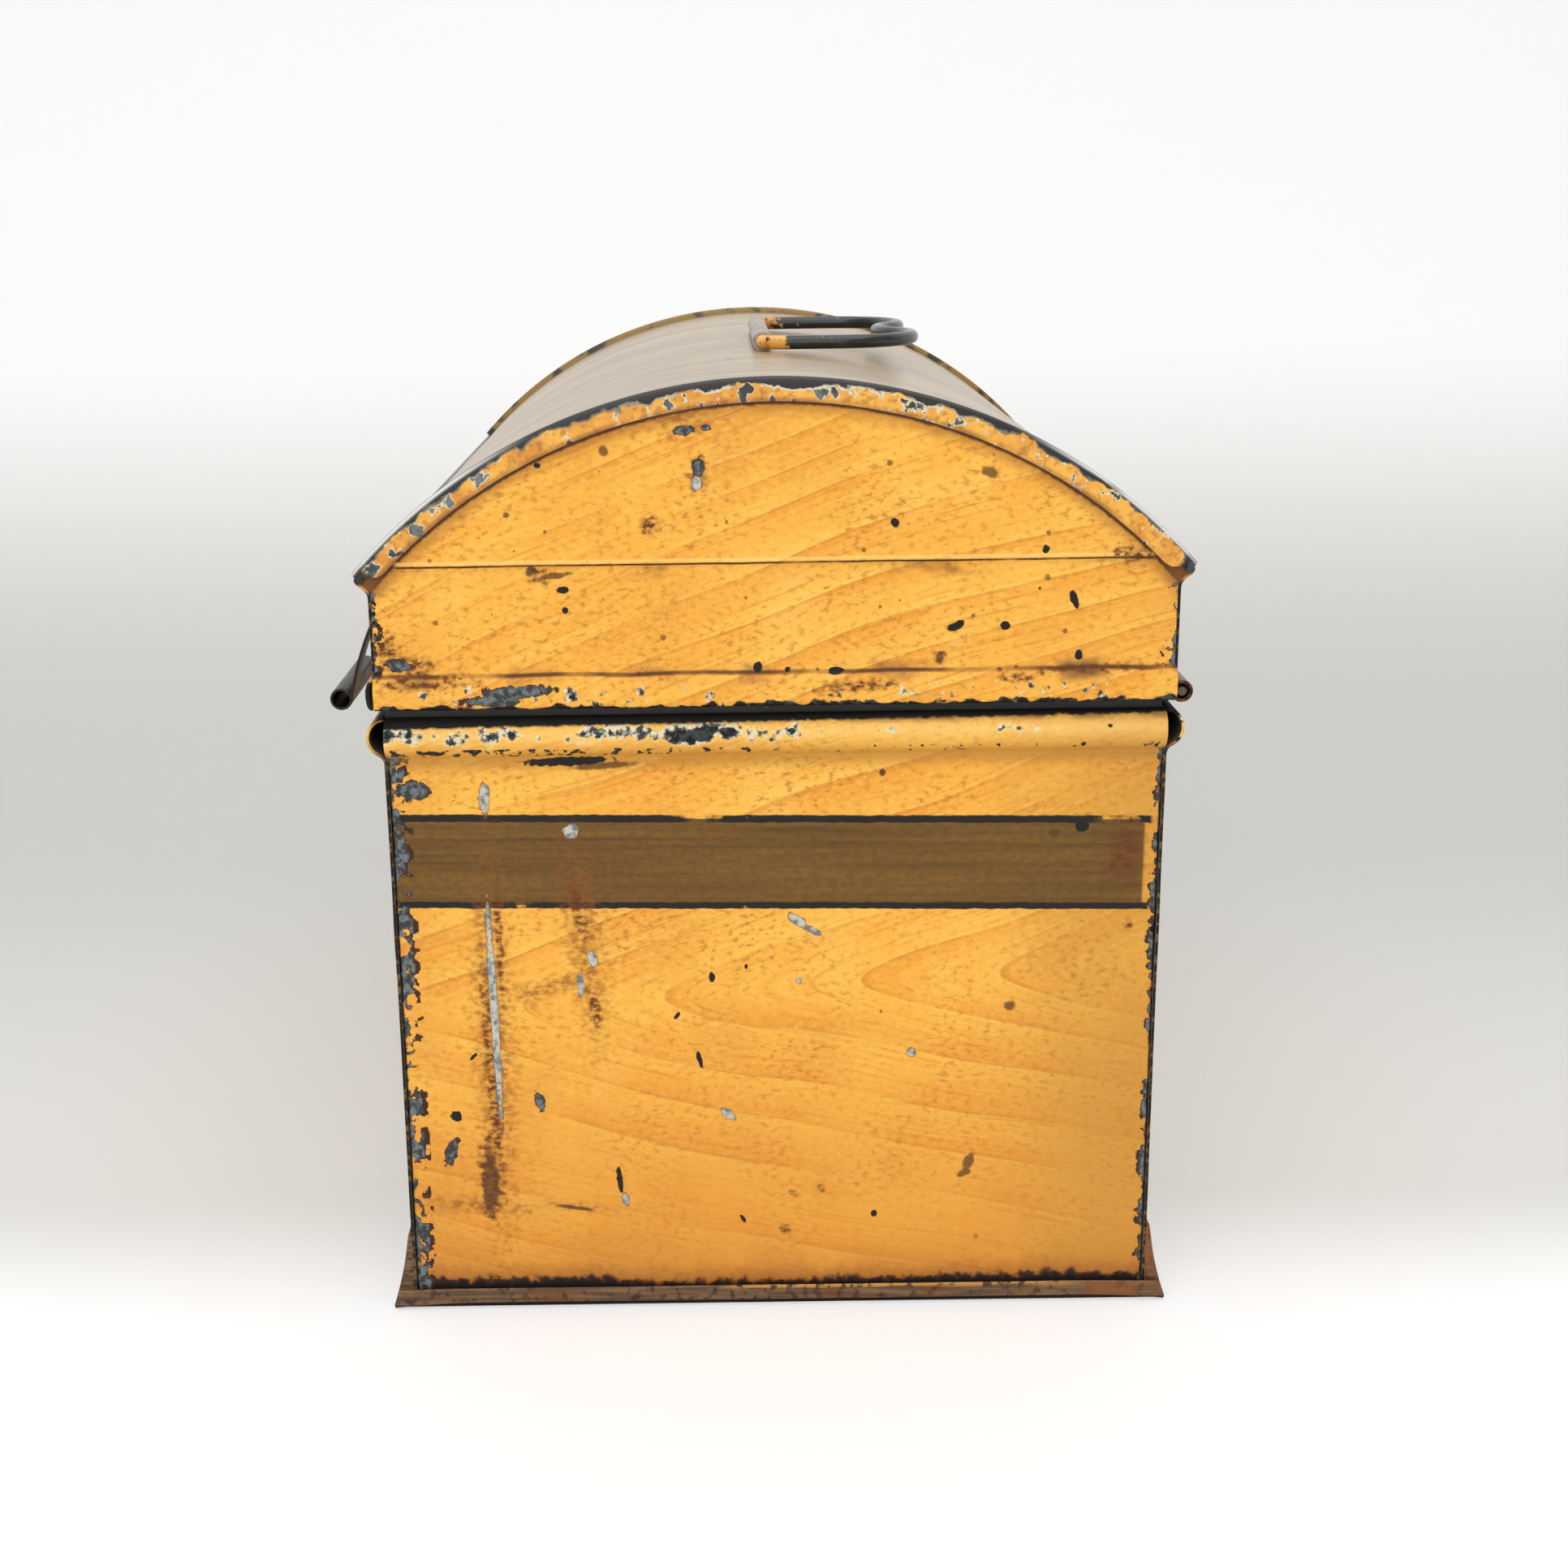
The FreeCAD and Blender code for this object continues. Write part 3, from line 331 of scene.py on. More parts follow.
def grained(finish, across, along, seed, wide):
    """Brushed wood graining: strokes side by side across, each shading from straw to a thin dark edge."""
    over, noise, streaks = finish.over, finish.noise, finish.streaks
    wander = noise(55, seed, 1)
    drift = across + (wander - 0.5) * (1.1 * wide)
    order = drift / wide + (streaks(drift, along, 2.6 * wide, 300, seed + 3, 1) - 0.5) * 2
    stroke = order.fraction()
    force = noise(24, seed + 5, 2).ease(0.3, 0.6)
    finish.colour = finish.blend(stroke ** 1.3 * (force * 0.7 + 0.15), STRAW, ORANGE)
    cloud = noise(38, seed + 21, 2)
    over(cloud.ease(0.4, 0.7) * 0.55, AMBER)
    aged = noise(19, seed + 25, 3)
    over(aged.ease(0.48, 0.72) * 0.5, tone(222, 152, 52))
    over(aged.ease(0.44, 0.26) * 0.35, tone(255, 202, 96))
    thin = stroke.ease(0.9, 0.97) * stroke.ease(0.999, 0.985)
    over(thin * force * 0.26, UMBER)
    over(stroke.ease(0.09, 0) * force * 0.22, tone(255, 206, 104))
    fibres = streaks(drift, along, 0.5, 22, seed + 7, 3)
    over(fibres.ease(0.5, 0.74) * 0.4, ORANGE)
    over(fibres.ease(0.6, 0.76) * 0.3, UMBER)
    over(fibres.ease(0.46, 0.28) * 0.3, tone(255, 204, 98))
    mottle = streaks(finish.v, finish.u, 0.85, 1.4, seed + 9, 3)
    patches = noise(14, seed + 12, 2).ease(0.3, 0.7)
    finish.speck = mottle.ease(0.4, 0.6) * 0.75 + 0.25
    over(mottle.ease(0.52, 0.68) * (patches * 0.5 + 0.18), tone(180, 110, 34))
    over(mottle.ease(0.46, 0.3) * 0.28, tone(255, 210, 116))
    dashes = streaks(drift, along, 0.3, 1.2, seed + 14, 3)
    over(dashes.ease(0.6, 0.72) * (patches * 0.5 + 0.06), tone(140, 82, 28), 0.6)
    over(finish.flecks(3.5, 0.5, seed + 2, 0.45) * 0.75, tone(100, 56, 20), 0.7)
    over(finish.flecks(9, 0.4, seed + 4, 0.6) * 0.9, tone(54, 32, 18), 0.7)
    finish.height = (fibres - 0.5) * 0.016 + (mottle - 0.5) * 0.016 + (cloud - 0.5) * 0.12
    finish.rough = fibres * 0.12 + 0.42


def base_paint(name, turned, sign, half, seed, heart, slope, edge_wear, marks):
    """A base wall: heart graining, olive band between black lines, worn bead, edges and foot; painted shade darker
    towards the bottom, towards one upright edge and under the bead, a painted highlight on the bead's crest and a
    painted shadow under the lid along its top.
    """
    finish = Finish(name, STRAW, 0.42)
    over, blend, noise, ragged = finish.over, finish.blend, finish.noise, finish.ragged
    finish.u = (finish.x if turned else finish.y) * sign
    u, v = finish.u, finish.v
    dv = v - heart[1] - (u - heart[0]) * 0.06
    across = (dv * dv + 9) ** 0.5 - (u - heart[0]) * 0.28
    grained(finish, across, u, seed, 8.6)
    # painted shade: the wall grows darker towards the bottom
    over(v.ease(70, 6) * 0.6, tone(214, 140, 44))
    over(v.ease(16, 4) * noise(16, seed + 1, 3).ease(0.3, 0.7) * 0.5, tone(176, 112, 40))
    side_darkening = noise(22, seed + 31, 4)
    # painted shade: darker, mottled, towards the upright edge at the high end of u
    over((half - u).ease(34, 2) * (side_darkening * 0.5 + 0.3), tone(186, 128, 46))
    over((u + half).ease(12, 1) * side_darkening.ease(0.3, 0.65) * 0.35, tone(205, 132, 46))

    level = v + u * slope
    fray = (noise(2.2, seed + 13, 3) - 0.5) * 0.5
    band = (level + fray * 0.6).between(BAND_LOW, BAND_TOP, 0.12) * u.ease(half - 2.2, half - 2.8)
    grain = finish.streaks(level, u, 0.9, 34, seed + 17, 4)
    olive = blend(grain.ease(0.3, 0.7), tone(118, 83, 28), tone(98, 68, 20))
    olive = blend(noise(26, seed + 19, 3).ease(0.5, 0.8) * 0.6, olive, tone(112, 70, 24))
    over(band * 0.97, olive, 0.52)
    over(band * (1 - finish.speck) * 0.4, tone(74, 50, 16))
    over(band * grain.ease(0.62, 0.74) * 0.35, tone(62, 42, 16))
    wear = noise(7, seed + 23, 5)
    for height, gauge in ((BAND_TOP, 0.62), (BAND_LOW, 0.55)):
        line = (abs(level - height + fray) - gauge).ease(0.12, -0.12) * u.ease(half - 1, half - 1.8)
        over(line * wear.ease(0.68, 0.6), NEAR_BLACK, 0.4)

    bead = v.ease(WALL_RISE - 1.2, WALL_RISE + 0.8)
    over(bead * 0.35, tone(226, 178, 84))
    # painted shade under the round of the bead
    over(v.between(WALL_RISE - 1.8, WALL_RISE + 1.4, 1.4) * 0.6, tone(172, 118, 42))
    # painted highlight along the bead's crest
    over(v.between(BEAD_TOP - 3.4, BEAD_TOP - 1.6, 1) * 0.3, tone(255, 216, 136))
    crest = 1 - abs(v - (BEAD_TOP - 2.4)) / 3
    scuff = noise(9, seed + 41, 2) * 0.5 + noise(2, seed + 42, 4) * 0.5
    heavy = abs(u + 10).ease(26, 8) * 0.16 + (u + half).ease(44, 4) * 0.15
    bare = (scuff + heavy + crest * 0.24 + 0.215) * bead - 1
    over(bare.ease(-0.05, 0.02) * 0.7, tone(244, 206, 122), 0.5)
    over(bare.ease(0, 0.05), blend(ragged.ease(0.42, 0.58), DARK_TIN, PRIMER), 0.5, 0.15)
    over(bare.ease(0.07, 0.11), blend(ragged.ease(0.45, 0.55), NEAR_BLACK, DARK_TIN), 0.5, 0.3)
    over(v.ease(BEAD_TOP - 1.7, BEAD_TOP - 0.4) * noise(7, seed + 43, 4).ease(0.35, 0.6) * 0.8, DARK_RUST, 0.7)
    row = v.between(WALL_RISE, WALL_RISE + 2.2, 0.7) * (abs(u + half).ease(70, 20) * 0.1 + noise(1.4, seed + 44, 3))
    over(row.ease(0.6, 0.65), blend(ragged.ease(0.5, 0.6), NEAR_BLACK, DARK_TIN), 0.6)
    over(finish.flecks(4.5, 0.5, seed + 47, 0.9) * v.ease(WALL_RISE + 0.1, WALL_RISE + 1.6), NEAR_BLACK, 0.6)
    # painted shadow: the top of the bead is black where it runs into the gap under the lid's rim, wider towards the
    # low end of u
    over((v - (BEAD_TOP - 1) - u / half * 0.45 + (ragged - 0.5) * 0.7).ease(-0.15, 0.25), NEAR_BLACK, 0.8)

    ends = abs(u).ease(half - 48, half - 26)
    foot = v - 3.7 - ends * 0.8 - (noise(12, seed + 53, 2) - 0.5) * 3 - (noise(1.5, seed + 54, 4) - 0.5) * 3.4
    over(foot.ease(4, 0.2) * 0.6, tone(150, 84, 30), 0.6)
    over(foot.ease(0.9, -0.1), DARK_RUST, 0.8)
    over(foot.ease(0.1, -0.8), NEAR_BLACK, 0.8)

    finish.worn_edges(half, edge_wear, seed + 61, 4.5, 1.25, v.ease(WALL_RISE + 1.6, WALL_RISE - 1.4),
                      blend(noise(1.1, seed + 67, 4).ease(0.42, 0.6), DARK_TIN, TIN),
                      blend(ragged.ease(0.5, 0.6), NEAR_BLACK, OLD_FOLD), (0.55, 0.25))
    finish.marks(marks)
    return finish.done(level=0.3)


def lid_paint(name, turned, sign, half, seed, edge_wear, marks, fan=0.36):
    """A lid wall: graining in a fan of rising strokes, rusty lap line, worn rim and edges; painted shade under the
    dome's border and at the eave tips, a painted shadow under the lap edge and a painted highlight on it.
    """
    finish = Finish(name, STRAW, 0.4)
    over, blend, noise, ragged = finish.over, finish.blend, finish.noise, finish.ragged
    finish.u = (finish.x if turned else finish.y) * sign
    u, v = finish.u, finish.v
    bend = u * (60 / half)
    across = v - bend * fan + bend * bend * 0.0011 + 40
    grained(finish, across, u, seed, 6.6)
    side_darkening = noise(20, seed + 31, 4)
    over((half - abs(u)).ease(16, 1) * side_darkening.ease(0.3, 0.65) * 0.3, tone(214, 146, 56))

    if not turned:
        away = RIM_RADIUS - SEAM_BORDER - GAUGE - (u * u + (v - DOME_AXIS) * (v - DOME_AXIS)) ** 0.5
        # painted shade under the edge of the dome's border, fading out within about 3 mm
        border_shade = away + (noise(6, seed + 33, 4) - 0.5) * 2
        over(border_shade.ease(3, 0.4) * 0.55, tone(160, 100, 36), 0.6)
        over((away + (ragged - 0.5) * 0.5).ease(0.75, 0.3) * 0.9, DARK_RUST, 0.7)
        lap = v - LAP_LINE - (noise(12, seed + 35, 2) - 0.5) * 0.4
        rusty = noise(9, seed + 37, 4)
        inside = (half - 4 - abs(u)).ease(0, 1)
        over(lap.between(-2.2, 0.2, 0.8) * rusty.ease(0.52, 0.72) * 0.75 * inside, RUST, 0.7)
        # painted shadow under the edge of the lapped arch plate, deepened by rust
        over(lap.between(-0.32, 0.05, 0.12) * inside * (rusty.ease(0.3, 0.45) * 0.5 + 0.5), tone(74, 40, 20), 0.7)
        # painted highlight on the arch plate's lower edge
        over(lap.between(0.2, 0.75, 0.2) * inside * 0.5, tone(255, 216, 128))
    eave = v - COVE_TOP
    if turned:
        over(eave.ease(-2, 0.4) * noise(8, seed + 39, 4).ease(0.3, 0.6) * 0.8, tone(120, 74, 32), 0.6)
    else:
        # painted shade at the flared corners under the eave
        tips = (abs(u) - LID_HALF_WIDTH + 1.5).ease(-2.5, 1.5)
        over(v.between(COVE_LOW + 0.5, EAVE + 0.8, 0.8) * tips * 0.7, tone(140, 84, 34), 0.6)

    rim = v - LID_LOW
    crease = rim - RIM_TALL - (noise(10, seed + 45, 3) - 0.5) * 0.7
    patchy = noise(11, seed + 47, 5)
    over(crease.between(-0.3, 0.35, 0.2) * (patchy.ease(0.3, 0.6) * 0.6 + 0.35), tone(84, 46, 26), 0.75)
    over(crease.between(-1.6, 1.4, 0.8) * patchy.ease(0.5, 0.72) * 0.8, tone(104, 66, 44), 0.75)
    scuff = noise(9, seed + 49, 2) * 0.5 + noise(1.8, seed + 50, 4) * 0.5
    lip = rim.ease(RIM_TALL - 0.3, RIM_TALL - 1)
    bare = (scuff - 0.6 + abs(rim - 2.4).ease(2.6, 0.4) * 0.06) * lip
    over(bare.ease(0, 0.04), blend(ragged.ease(0.4, 0.58), DARK_TIN, PRIMER), 0.5, 0.15)
    over(bare.ease(0.07, 0.1), blend(ragged.ease(0.45, 0.55), NEAR_BLACK, DARK_TIN), 0.5, 0.3)
    under = rim - 0.55 - (noise(2.4, seed + 51, 4) - 0.5) * 3.6
    over(under.ease(0.25, -0.1), blend(ragged.ease(0.5, 0.62), NEAR_BLACK, DARK_TIN), 0.5, 0.2)
    over(finish.flecks(4.5, 0.5, seed + 55, 0.8) * lip, NEAR_BLACK, 0.6)

    if turned:
        over((half - abs(u)).ease(2.4, 0.8) * lip, blend(ragged.ease(0.5, 0.62), NEAR_BLACK, RUST), 0.6)

    finish.worn_edges(half, edge_wear, seed + 61, 4, 1.2, v.between(LID_LOW + RIM_TALL, COVE_LOW + 1, 0.6),
                      blend(noise(1.2, seed + 67, 4).ease(0.45, 0.6), NEAR_BLACK, TIN),
                      blend(ragged.ease(0.52, 0.62), NEAR_BLACK, OLD_FOLD), (0.5, 0.2))
    finish.marks(marks)
    return finish.done(level=0.3)


# Knocks, spots and stains by kind, first as seen on the photographed end: place across and up, half sizes, turn
BASE_END_MARKS = {
    "stain": ((-46.5, 48, 3.2, 30), (-31, 64, 3, 16, 6), (-37, 57.5, 9, 1.6, 14), (-50, 18.6, 9, 1.5, -6),
        (-34, 18.2, 5, 0.8, -8)),
    "rust": ((-47, 42, 1.1, 22, 2), (-48, 24, 2, 8), (-45, 66, 0.7, 10), (-32, 70.5, 1.1, 5, 10),
        (-29.9, 54, 0.9, 4.5, 8), (2.6, 20, 0.9, 0.8), (7.2, 21, 0.8, 0.8), (1, 13.6, 1, 0.9), (57, 66.8, 0.9, 1),
        (56, 79, 3, 5)),
    "brown": ((-48.2, 23, 1.4, 6.5), (-27, 94.8, 5, 0.6, 4), (-34, 18, 3.6, 0.35, -8), (31.8, 25.6, 0.8, 1.8, -20),
        (31, 23.4, 1.3, 0.6, 20), (38, 53.2, 1, 0.9), (44.6, 82.6, 0.9, 0.6)),
    "pale": ((-46.3, 53, 0.7, 20, 1.2), (-46.4, 89.6, 0.9, 2.6), (-30, 62.3, 0.8, 1.6, 20), (-32, 57.8, 0.55, 2.2),
        (-32.8, 84, 1.3, 1.2), (3.4, 68.4, 1.9, 0.8, -38), (6, 66.6, 1.3, 0.5, -30), (-8.2, 34.6, 1.5, 0.75, -40),
        (22, 45.1, 0.7, 0.85), (3.6, 58, 0.5, 0.5), (-25.6, 19.4, 0.55, 1.2, 12)),
    "tin": ((-57.6, 91.1, 2.5, 1.6), (-54.4, 28.5, 0.9, 2.4, -18), (-39.4, 37.2, 0.7, 1.8, 14)),
    "dark": ((-33.1, 95.6, 7, 0.75, 2), (-10.6, 58.9, 0.5, 1, 8), (-12.8, 44.4, 0.4, 1.7, 16), (-5, 60.6, 0.3, 0.5),
        (-16.4, 52.2, 0.8, 0.3, 50), (-53.4, 34.9, 0.9, 0.95), (-50, 45.5, 0.8, 0.3, 45), (-26.5, 23, 0.5, 2.6, 6),
        (16, 16.2, 0.5, 0.6), (-6, 15.6, 0.35, 0.8, 30), (61, 66, 0.5, 0.6), (49, 83.6, 1.1, 0.8)),
}
LID_END_MARKS = {
    "stain": ((-14, 148.6, 4, 2.4),),
    "tin": ((-13.6, 147.4, 1.6, 0.7, 10), (-10.2, 147.8, 0.8, 0.5), (-11.4, 141.8, 0.9, 1.3, -6),
        (-40.5, 107.3, 5.6, 1, 4), (-44, 106, 4.6, 0.9, 2), (-58.6, 111.6, 2, 0.9, -8)),
    "rust": ((-11.4, 140.8, 1.5, 3, -6), (-19, 133, 1.6, 1.8), (-36.6, 125.8, 2, 1.4, -30),
        (-57, 111.4, 4.4, 1.9, -6), (-55, 109, 8, 1.2), (-60, 114, 2, 2.4), (25.7, 111.9, 1.1, 1),
        (12.5, 107.6, 7, 1.1, 3), (38, 108.6, 3, 0.8), (55, 127.6, 4, 1.2, -8), (50, 109.8, 10, 0.7, 1)),
    "pale": ((-11.7, 139.4, 0.8, 1.2),),
    "brown": ((-25.8, 144.6, 0.7, 0.9), (-37.6, 126.2, 0.8, 0.8), (-34, 125.4, 3, 0.5, 6), (-41, 135, 0.5, 0.5),
        (25.7, 111.7, 0.6, 0.9), (33, 140.5, 1.6, 0.8, -20)),
    "dark": ((-36, 142.5, 0.5, 0.4), (-32.8, 123.2, 1, 0.6), (-32.4, 120, 0.5, 0.5), (28.1, 116.7, 1.5, 0.65, 28),
        (35.8, 116.7, 0.8, 0.65), (46.5, 120.7, 0.6, 1.4, 18), (47.4, 111.9, 0.6, 0.9), (9.5, 109.9, 1.3, 0.6),
        (18.6, 133, 0.6, 0.7), (2, 110.2, 0.4, 0.4), (-2.6, 110.6, 0.7, 0.8), (41.8, 128.6, 0.5, 0.7)),
}
OTHER_MARKS = {
    "tin": ((-48, 38, 1.2, 2, 20), (10, 90.5, 1.6, 1)),
    "dark": ((22, 30, 0.8, 0.7), (-30, 24, 0.5, 1.5, 12)),
    "rust": ((35, 52, 1.2, 6, 8),),
    "stain": ((35, 46, 3, 14),),
    "pale": ((-12, 62, 1.1, 0.8, 30), (47, 64, 0.7, 5, 4)),
    "brown": ((-20, 94.8, 6, 0.6, 2),),
}
OTHER_LID_MARKS = {
    "tin": ((30, 116, 1.4, 0.9, 20),),
    "dark": ((-25, 114, 0.7, 0.7), (8, 119, 0.6, 1)),
    "rust": ((-44, 112, 1.5, 2),),
    "pale": ((52, 113, 1.6, 0.8, 30),),
    "brown": ((-8, 112.5, 2.2, 0.7),),
}


def shifted(marks, stretch):
    """The same kinds of marks spread out, or mirrored by a negative stretch, for another wall."""
    turned = math.copysign(1, stretch)
    return {kind: [(u * stretch, v, long, wide, turned * sum(turn)) for u, v, long, wide, *turn in spots]
            for kind, spots in marks.items()}


END_HALF = BASE_HALF_WIDTH - GAUGE
right_end_paint = base_paint("right_end_paint", False, 1, END_HALF, 1, (0, 57), 0.0157, (2.7, 1.3), BASE_END_MARKS)
left_end_paint = base_paint("left_end_paint", False, -1, END_HALF, 3.7, (-6, 52), 0, (2.4, 2.4),
                           shifted(OTHER_MARKS, -1))
front_paint = base_paint("front_paint", True, 1, BASE_HALF_LENGTH, 6.1, (-20, 50), 0, (2.6, 2.2),
                         shifted(OTHER_MARKS, -1.7))
back_paint = base_paint("back_paint", True, -1, BASE_HALF_LENGTH, 8.3, (15, 46), 0, (2.2, 2.6),
                        shifted(OTHER_MARKS, 1.5))
lid_right_paint = lid_paint("lid_right_paint", False, 1, LID_HALF_WIDTH, 1.9, (1.8, 2.4), LID_END_MARKS)
lid_left_paint = lid_paint("lid_left_paint", False, -1, LID_HALF_WIDTH, 4.3, (2.4, 1.8), OTHER_LID_MARKS, -0.3)
lid_front_paint = lid_paint("lid_front_paint", True, 1, LID_HALF_LENGTH, 6.9, (2.4, 2.4),
                            shifted(OTHER_LID_MARKS, -1.6), 0.12)
lid_back_paint = lid_paint("lid_back_paint", True, -1, LID_HALF_LENGTH, 9.1, (2.4, 2.4),
                           shifted(OTHER_LID_MARKS, 1.7), 0.1)


def dome_paint():
    """Brown-grey streaked top with a yellow seam at each end, its outer edge worn black, with a painted highlight on
    the worn rounded edge at the shoulders.
    """
    finish = Finish("dome_paint", tone(168, 142, 106), 0.36)
    over, blend, noise, streaks, flecks = finish.over, finish.blend, finish.noise, finish.streaks, finish.flecks
    x, y, z = finish.x, finish.y, finish.z
    up = z - DOME_AXIS
    radius = (y * y + up * up) ** 0.5
    turn = y.math("ARCTAN2", y, up)
    run = turn * RIM_RADIUS
    finish.u, finish.v = run, x
    streak = streaks(x, run, 1.1, 38, 2, 4)
    broad = streaks(x, run, 9, 90, 5, 3)
    over(streak.ease(0.35, 0.62) * 0.6, tone(122, 98, 70))
    over(broad.ease(0.4, 0.7) * 0.55, tone(190, 166, 128))
    over(streak.ease(0.58, 0.72) * 0.7, tone(78, 58, 38), 0.42)
    over(noise(30, 7, 4).ease(0.5, 0.75) * 0.4, tone(138, 110, 78))
    over(flecks(6, 0.35, 3, 0.5) * 0.8, tone(44, 33, 24), 0.6)
    over(flecks(14, 0.25, 5, 0.7) * 0.7, tone(170, 150, 116), 0.5)
    finish.height = (streak - 0.5) * 0.02

    ends = abs(x)
    seam = ends.ease(DOME_HALF_LENGTH - SEAM_LAP - 0.6, DOME_HALF_LENGTH - SEAM_LAP - 0.3)
    spots = noise(5, 13, 5)
    gold = blend(spots.ease(0.5, 0.62), tone(146, 114, 50), tone(52, 46, 34))
    far = x.ease(-90, -95)
    over(seam * far, gold, 0.4)
    over(seam * (1 - far), blend(spots.ease(0.58, 0.68), tone(28, 25, 22), tone(84, 70, 44)), 0.36)

    drop = RIM_RADIUS - radius
    shoulder = abs(turn).ease(0.42, 0.62)
    crown = abs(run - 6).ease(34, 12)
    chew = noise(4, 17, 6)
    fade = noise(14, 19, 3)
    border = ends.ease(DOME_HALF_LENGTH - 0.85, DOME_HALF_LENGTH - 0.6)
    left_part = run.ease(-20, -30)
    rim = drop - 1.2 - (chew - 0.5) * 4.6 - crown * 0.15 - (fade - 0.5) * 1.6 + left_part * 0.25
    yellow = blend(noise(5, 23, 4).ease(0.35, 0.7), tone(242, 178, 66), tone(214, 140, 42))
    yellow = blend(noise(1.2, 37, 3).ease(0.5, 0.68) * 0.6, yellow, tone(160, 96, 30))
    over(border, tone(26, 23, 20), 0.38)
    over(border * rim.ease(-0.42, -0.2) * (crown * 0.75 + 0.2) * chew.ease(0.4, 0.5), PRIMER, 0.55)
    over(border * rim.ease(-0.1, 0.12), yellow, 0.45, 0)
    gone = noise(2.4, 29, 4) + crown * 0.06 + shoulder * 0.05 + (fade - 0.5) * 0.2
    over(border * gone.ease(0.61, 0.64) * rim.ease(-0.2, 0.1), PRIMER, 0.55)
    over(border * gone.ease(0.64, 0.67) * rim.ease(-0.2, 0.1), blend(chew.ease(0.45, 0.6), DARK_TIN, TIN), 0.5, 0.3)
    over(border * flecks(4, 0.5, 6, 0.6), NEAR_BLACK, 0.6)
    over(border * drop.ease(SEAM_BORDER - 0.5, SEAM_BORDER + 0.4) * fade.ease(0.35, 0.65) * 0.7, RUST, 0.7)
    edge = drop.ease(0.75, 0.1) * ends.ease(DOME_HALF_LENGTH - 0.75, DOME_HALF_LENGTH - 0.25)
    bright = streaks(drop, run, 0.7, 16, 31, 4)
    # the rounded edge at the shoulders is worn to tin, and painted near-white as its highlight
    worn_glint = edge * shoulder * bright.ease(0.32, 0.46)
    over(worn_glint, tone(240, 240, 236), 0.3, 0.1)
    eave = (abs(turn) + (chew - 0.5) * 0.02).ease(ARC_HALF_ANGLE - 0.03, ARC_HALF_ANGLE - 0.016)
    over(eave * (1 - worn_glint), blend(chew.ease(0.5, 0.62), tone(24, 22, 20), DARK_TIN), 0.4)
    return finish.done(coat=seam * -0.2 + 0.3, coat_rough=0.22)


def tray_paint():
    """Rusted dark brown tin of the bottom, with the last of the yellow at its upper line, and painted shadow in black
    along its lowest millimetre.
    """
    finish = Finish("tray_rust", tone(92, 69, 51), 0.74)
    over = finish.over
    rust = finish.noise(9, 1, 6)
    fine = finish.noise(1.6, 2, 5)
    along = finish.streaks(finish.z, finish.y + finish.x, 0.8, 14, 3, 4)
    over(along.ease(0.4, 0.62) * 0.7, tone(138, 106, 70))
    over(rust.ease(0.5, 0.68) * 0.7, tone(112, 68, 38), 0.82)
    over(fine.ease(0.52, 0.66) * 0.75, tone(40, 27, 22), 0.85)
    corner = finish.y.ease(30, 58) * finish.x.ease(80, 100)
    over(corner * rust.ease(0.35, 0.6) * 0.85, tone(142, 88, 42), 0.85)
    over(fine.ease(0.62, 0.72) * rust.ease(0.45, 0.6) * 0.6, tone(164, 104, 48), 0.85)
    over(finish.flecks(8, 0.3, 4, 0.9) * 0.6, tone(176, 140, 78), 0.8)
    yellow = abs(finish.y - 20).ease(36, 20) * finish.x.ease(99, 101) * finish.z.ease(2.7, 3.5)
    over(yellow * along.ease(0.42, 0.56) * fine.ease(0.62, 0.5) * 0.8, tone(204, 148, 66), 0.7)
    # painted shadow: black below about 0.85 mm, in the gap under the lifted flange and along the foot of the skirts
    over(finish.z.ease(0.85, 0.6) * 0.97, NEAR_BLACK, 0.95)
    finish.height = (fine - 0.5) * 0.09 + (rust - 0.5) * 0.2
    return finish.done(level=0.35)


def black_paint(name, chips):
    """Black lacquer, thin and glossy, rubbed through to tin and rust."""
    finish = Finish(name, tone(24, 22, 20), 0.42)
    over, noise = finish.over, finish.noise
    cloud = noise(6, 1, 5)
    over(cloud.ease(0.45, 0.7) * 0.5, tone(46, 44, 40), 0.42)
    over(noise(2.4, 3, 5).ease(0.62 - chips, 0.7 - chips) * 0.85, tone(86, 62, 40), 0.6)
    over(noise(3.4, 5, 5).ease(0.66 - chips, 0.71 - chips), TIN, 0.4, 0.6)
    finish.height = (cloud - 0.5) * 0.05
    return finish.done(level=0.4)


def bail_paint():
    """The bail's wire: glossy black with yellow paint left on the arms beside the clip."""
    finish = Finish("bail_paint", tone(20, 22, 22), 0.28)
    over, noise = finish.over, finish.noise
    cloud = noise(4, 1, 5)
    over(cloud.ease(0.5, 0.7) * 0.5, tone(44, 46, 44), 0.4)
    over(noise(1.2, 3, 4).ease(0.68, 0.74), tone(150, 152, 148), 0.35, 0.5)
    reach = finish.y - 4.3 - (noise(1.6, 7, 3) - 0.5) * 8
    yellow = finish.blend(cloud.ease(0.35, 0.65), tone(244, 176, 78), tone(206, 138, 44))
    arms = abs(finish.x).ease(CLIP_HALF - 0.2, CLIP_HALF + 0.3)
    over(reach.ease(0.2, -0.2) * arms, yellow, 0.5)
    over(reach.between(-0.2, 0.25, 0.2) * arms * 0.7, tone(96, 66, 30), 0.6)
    over(reach.ease(-0.4, -1.6) * finish.ragged.ease(0.6, 0.66) * arms, NEAR_BLACK, 0.5)
    return finish.done(coat=0.35, coat_rough=0.1)


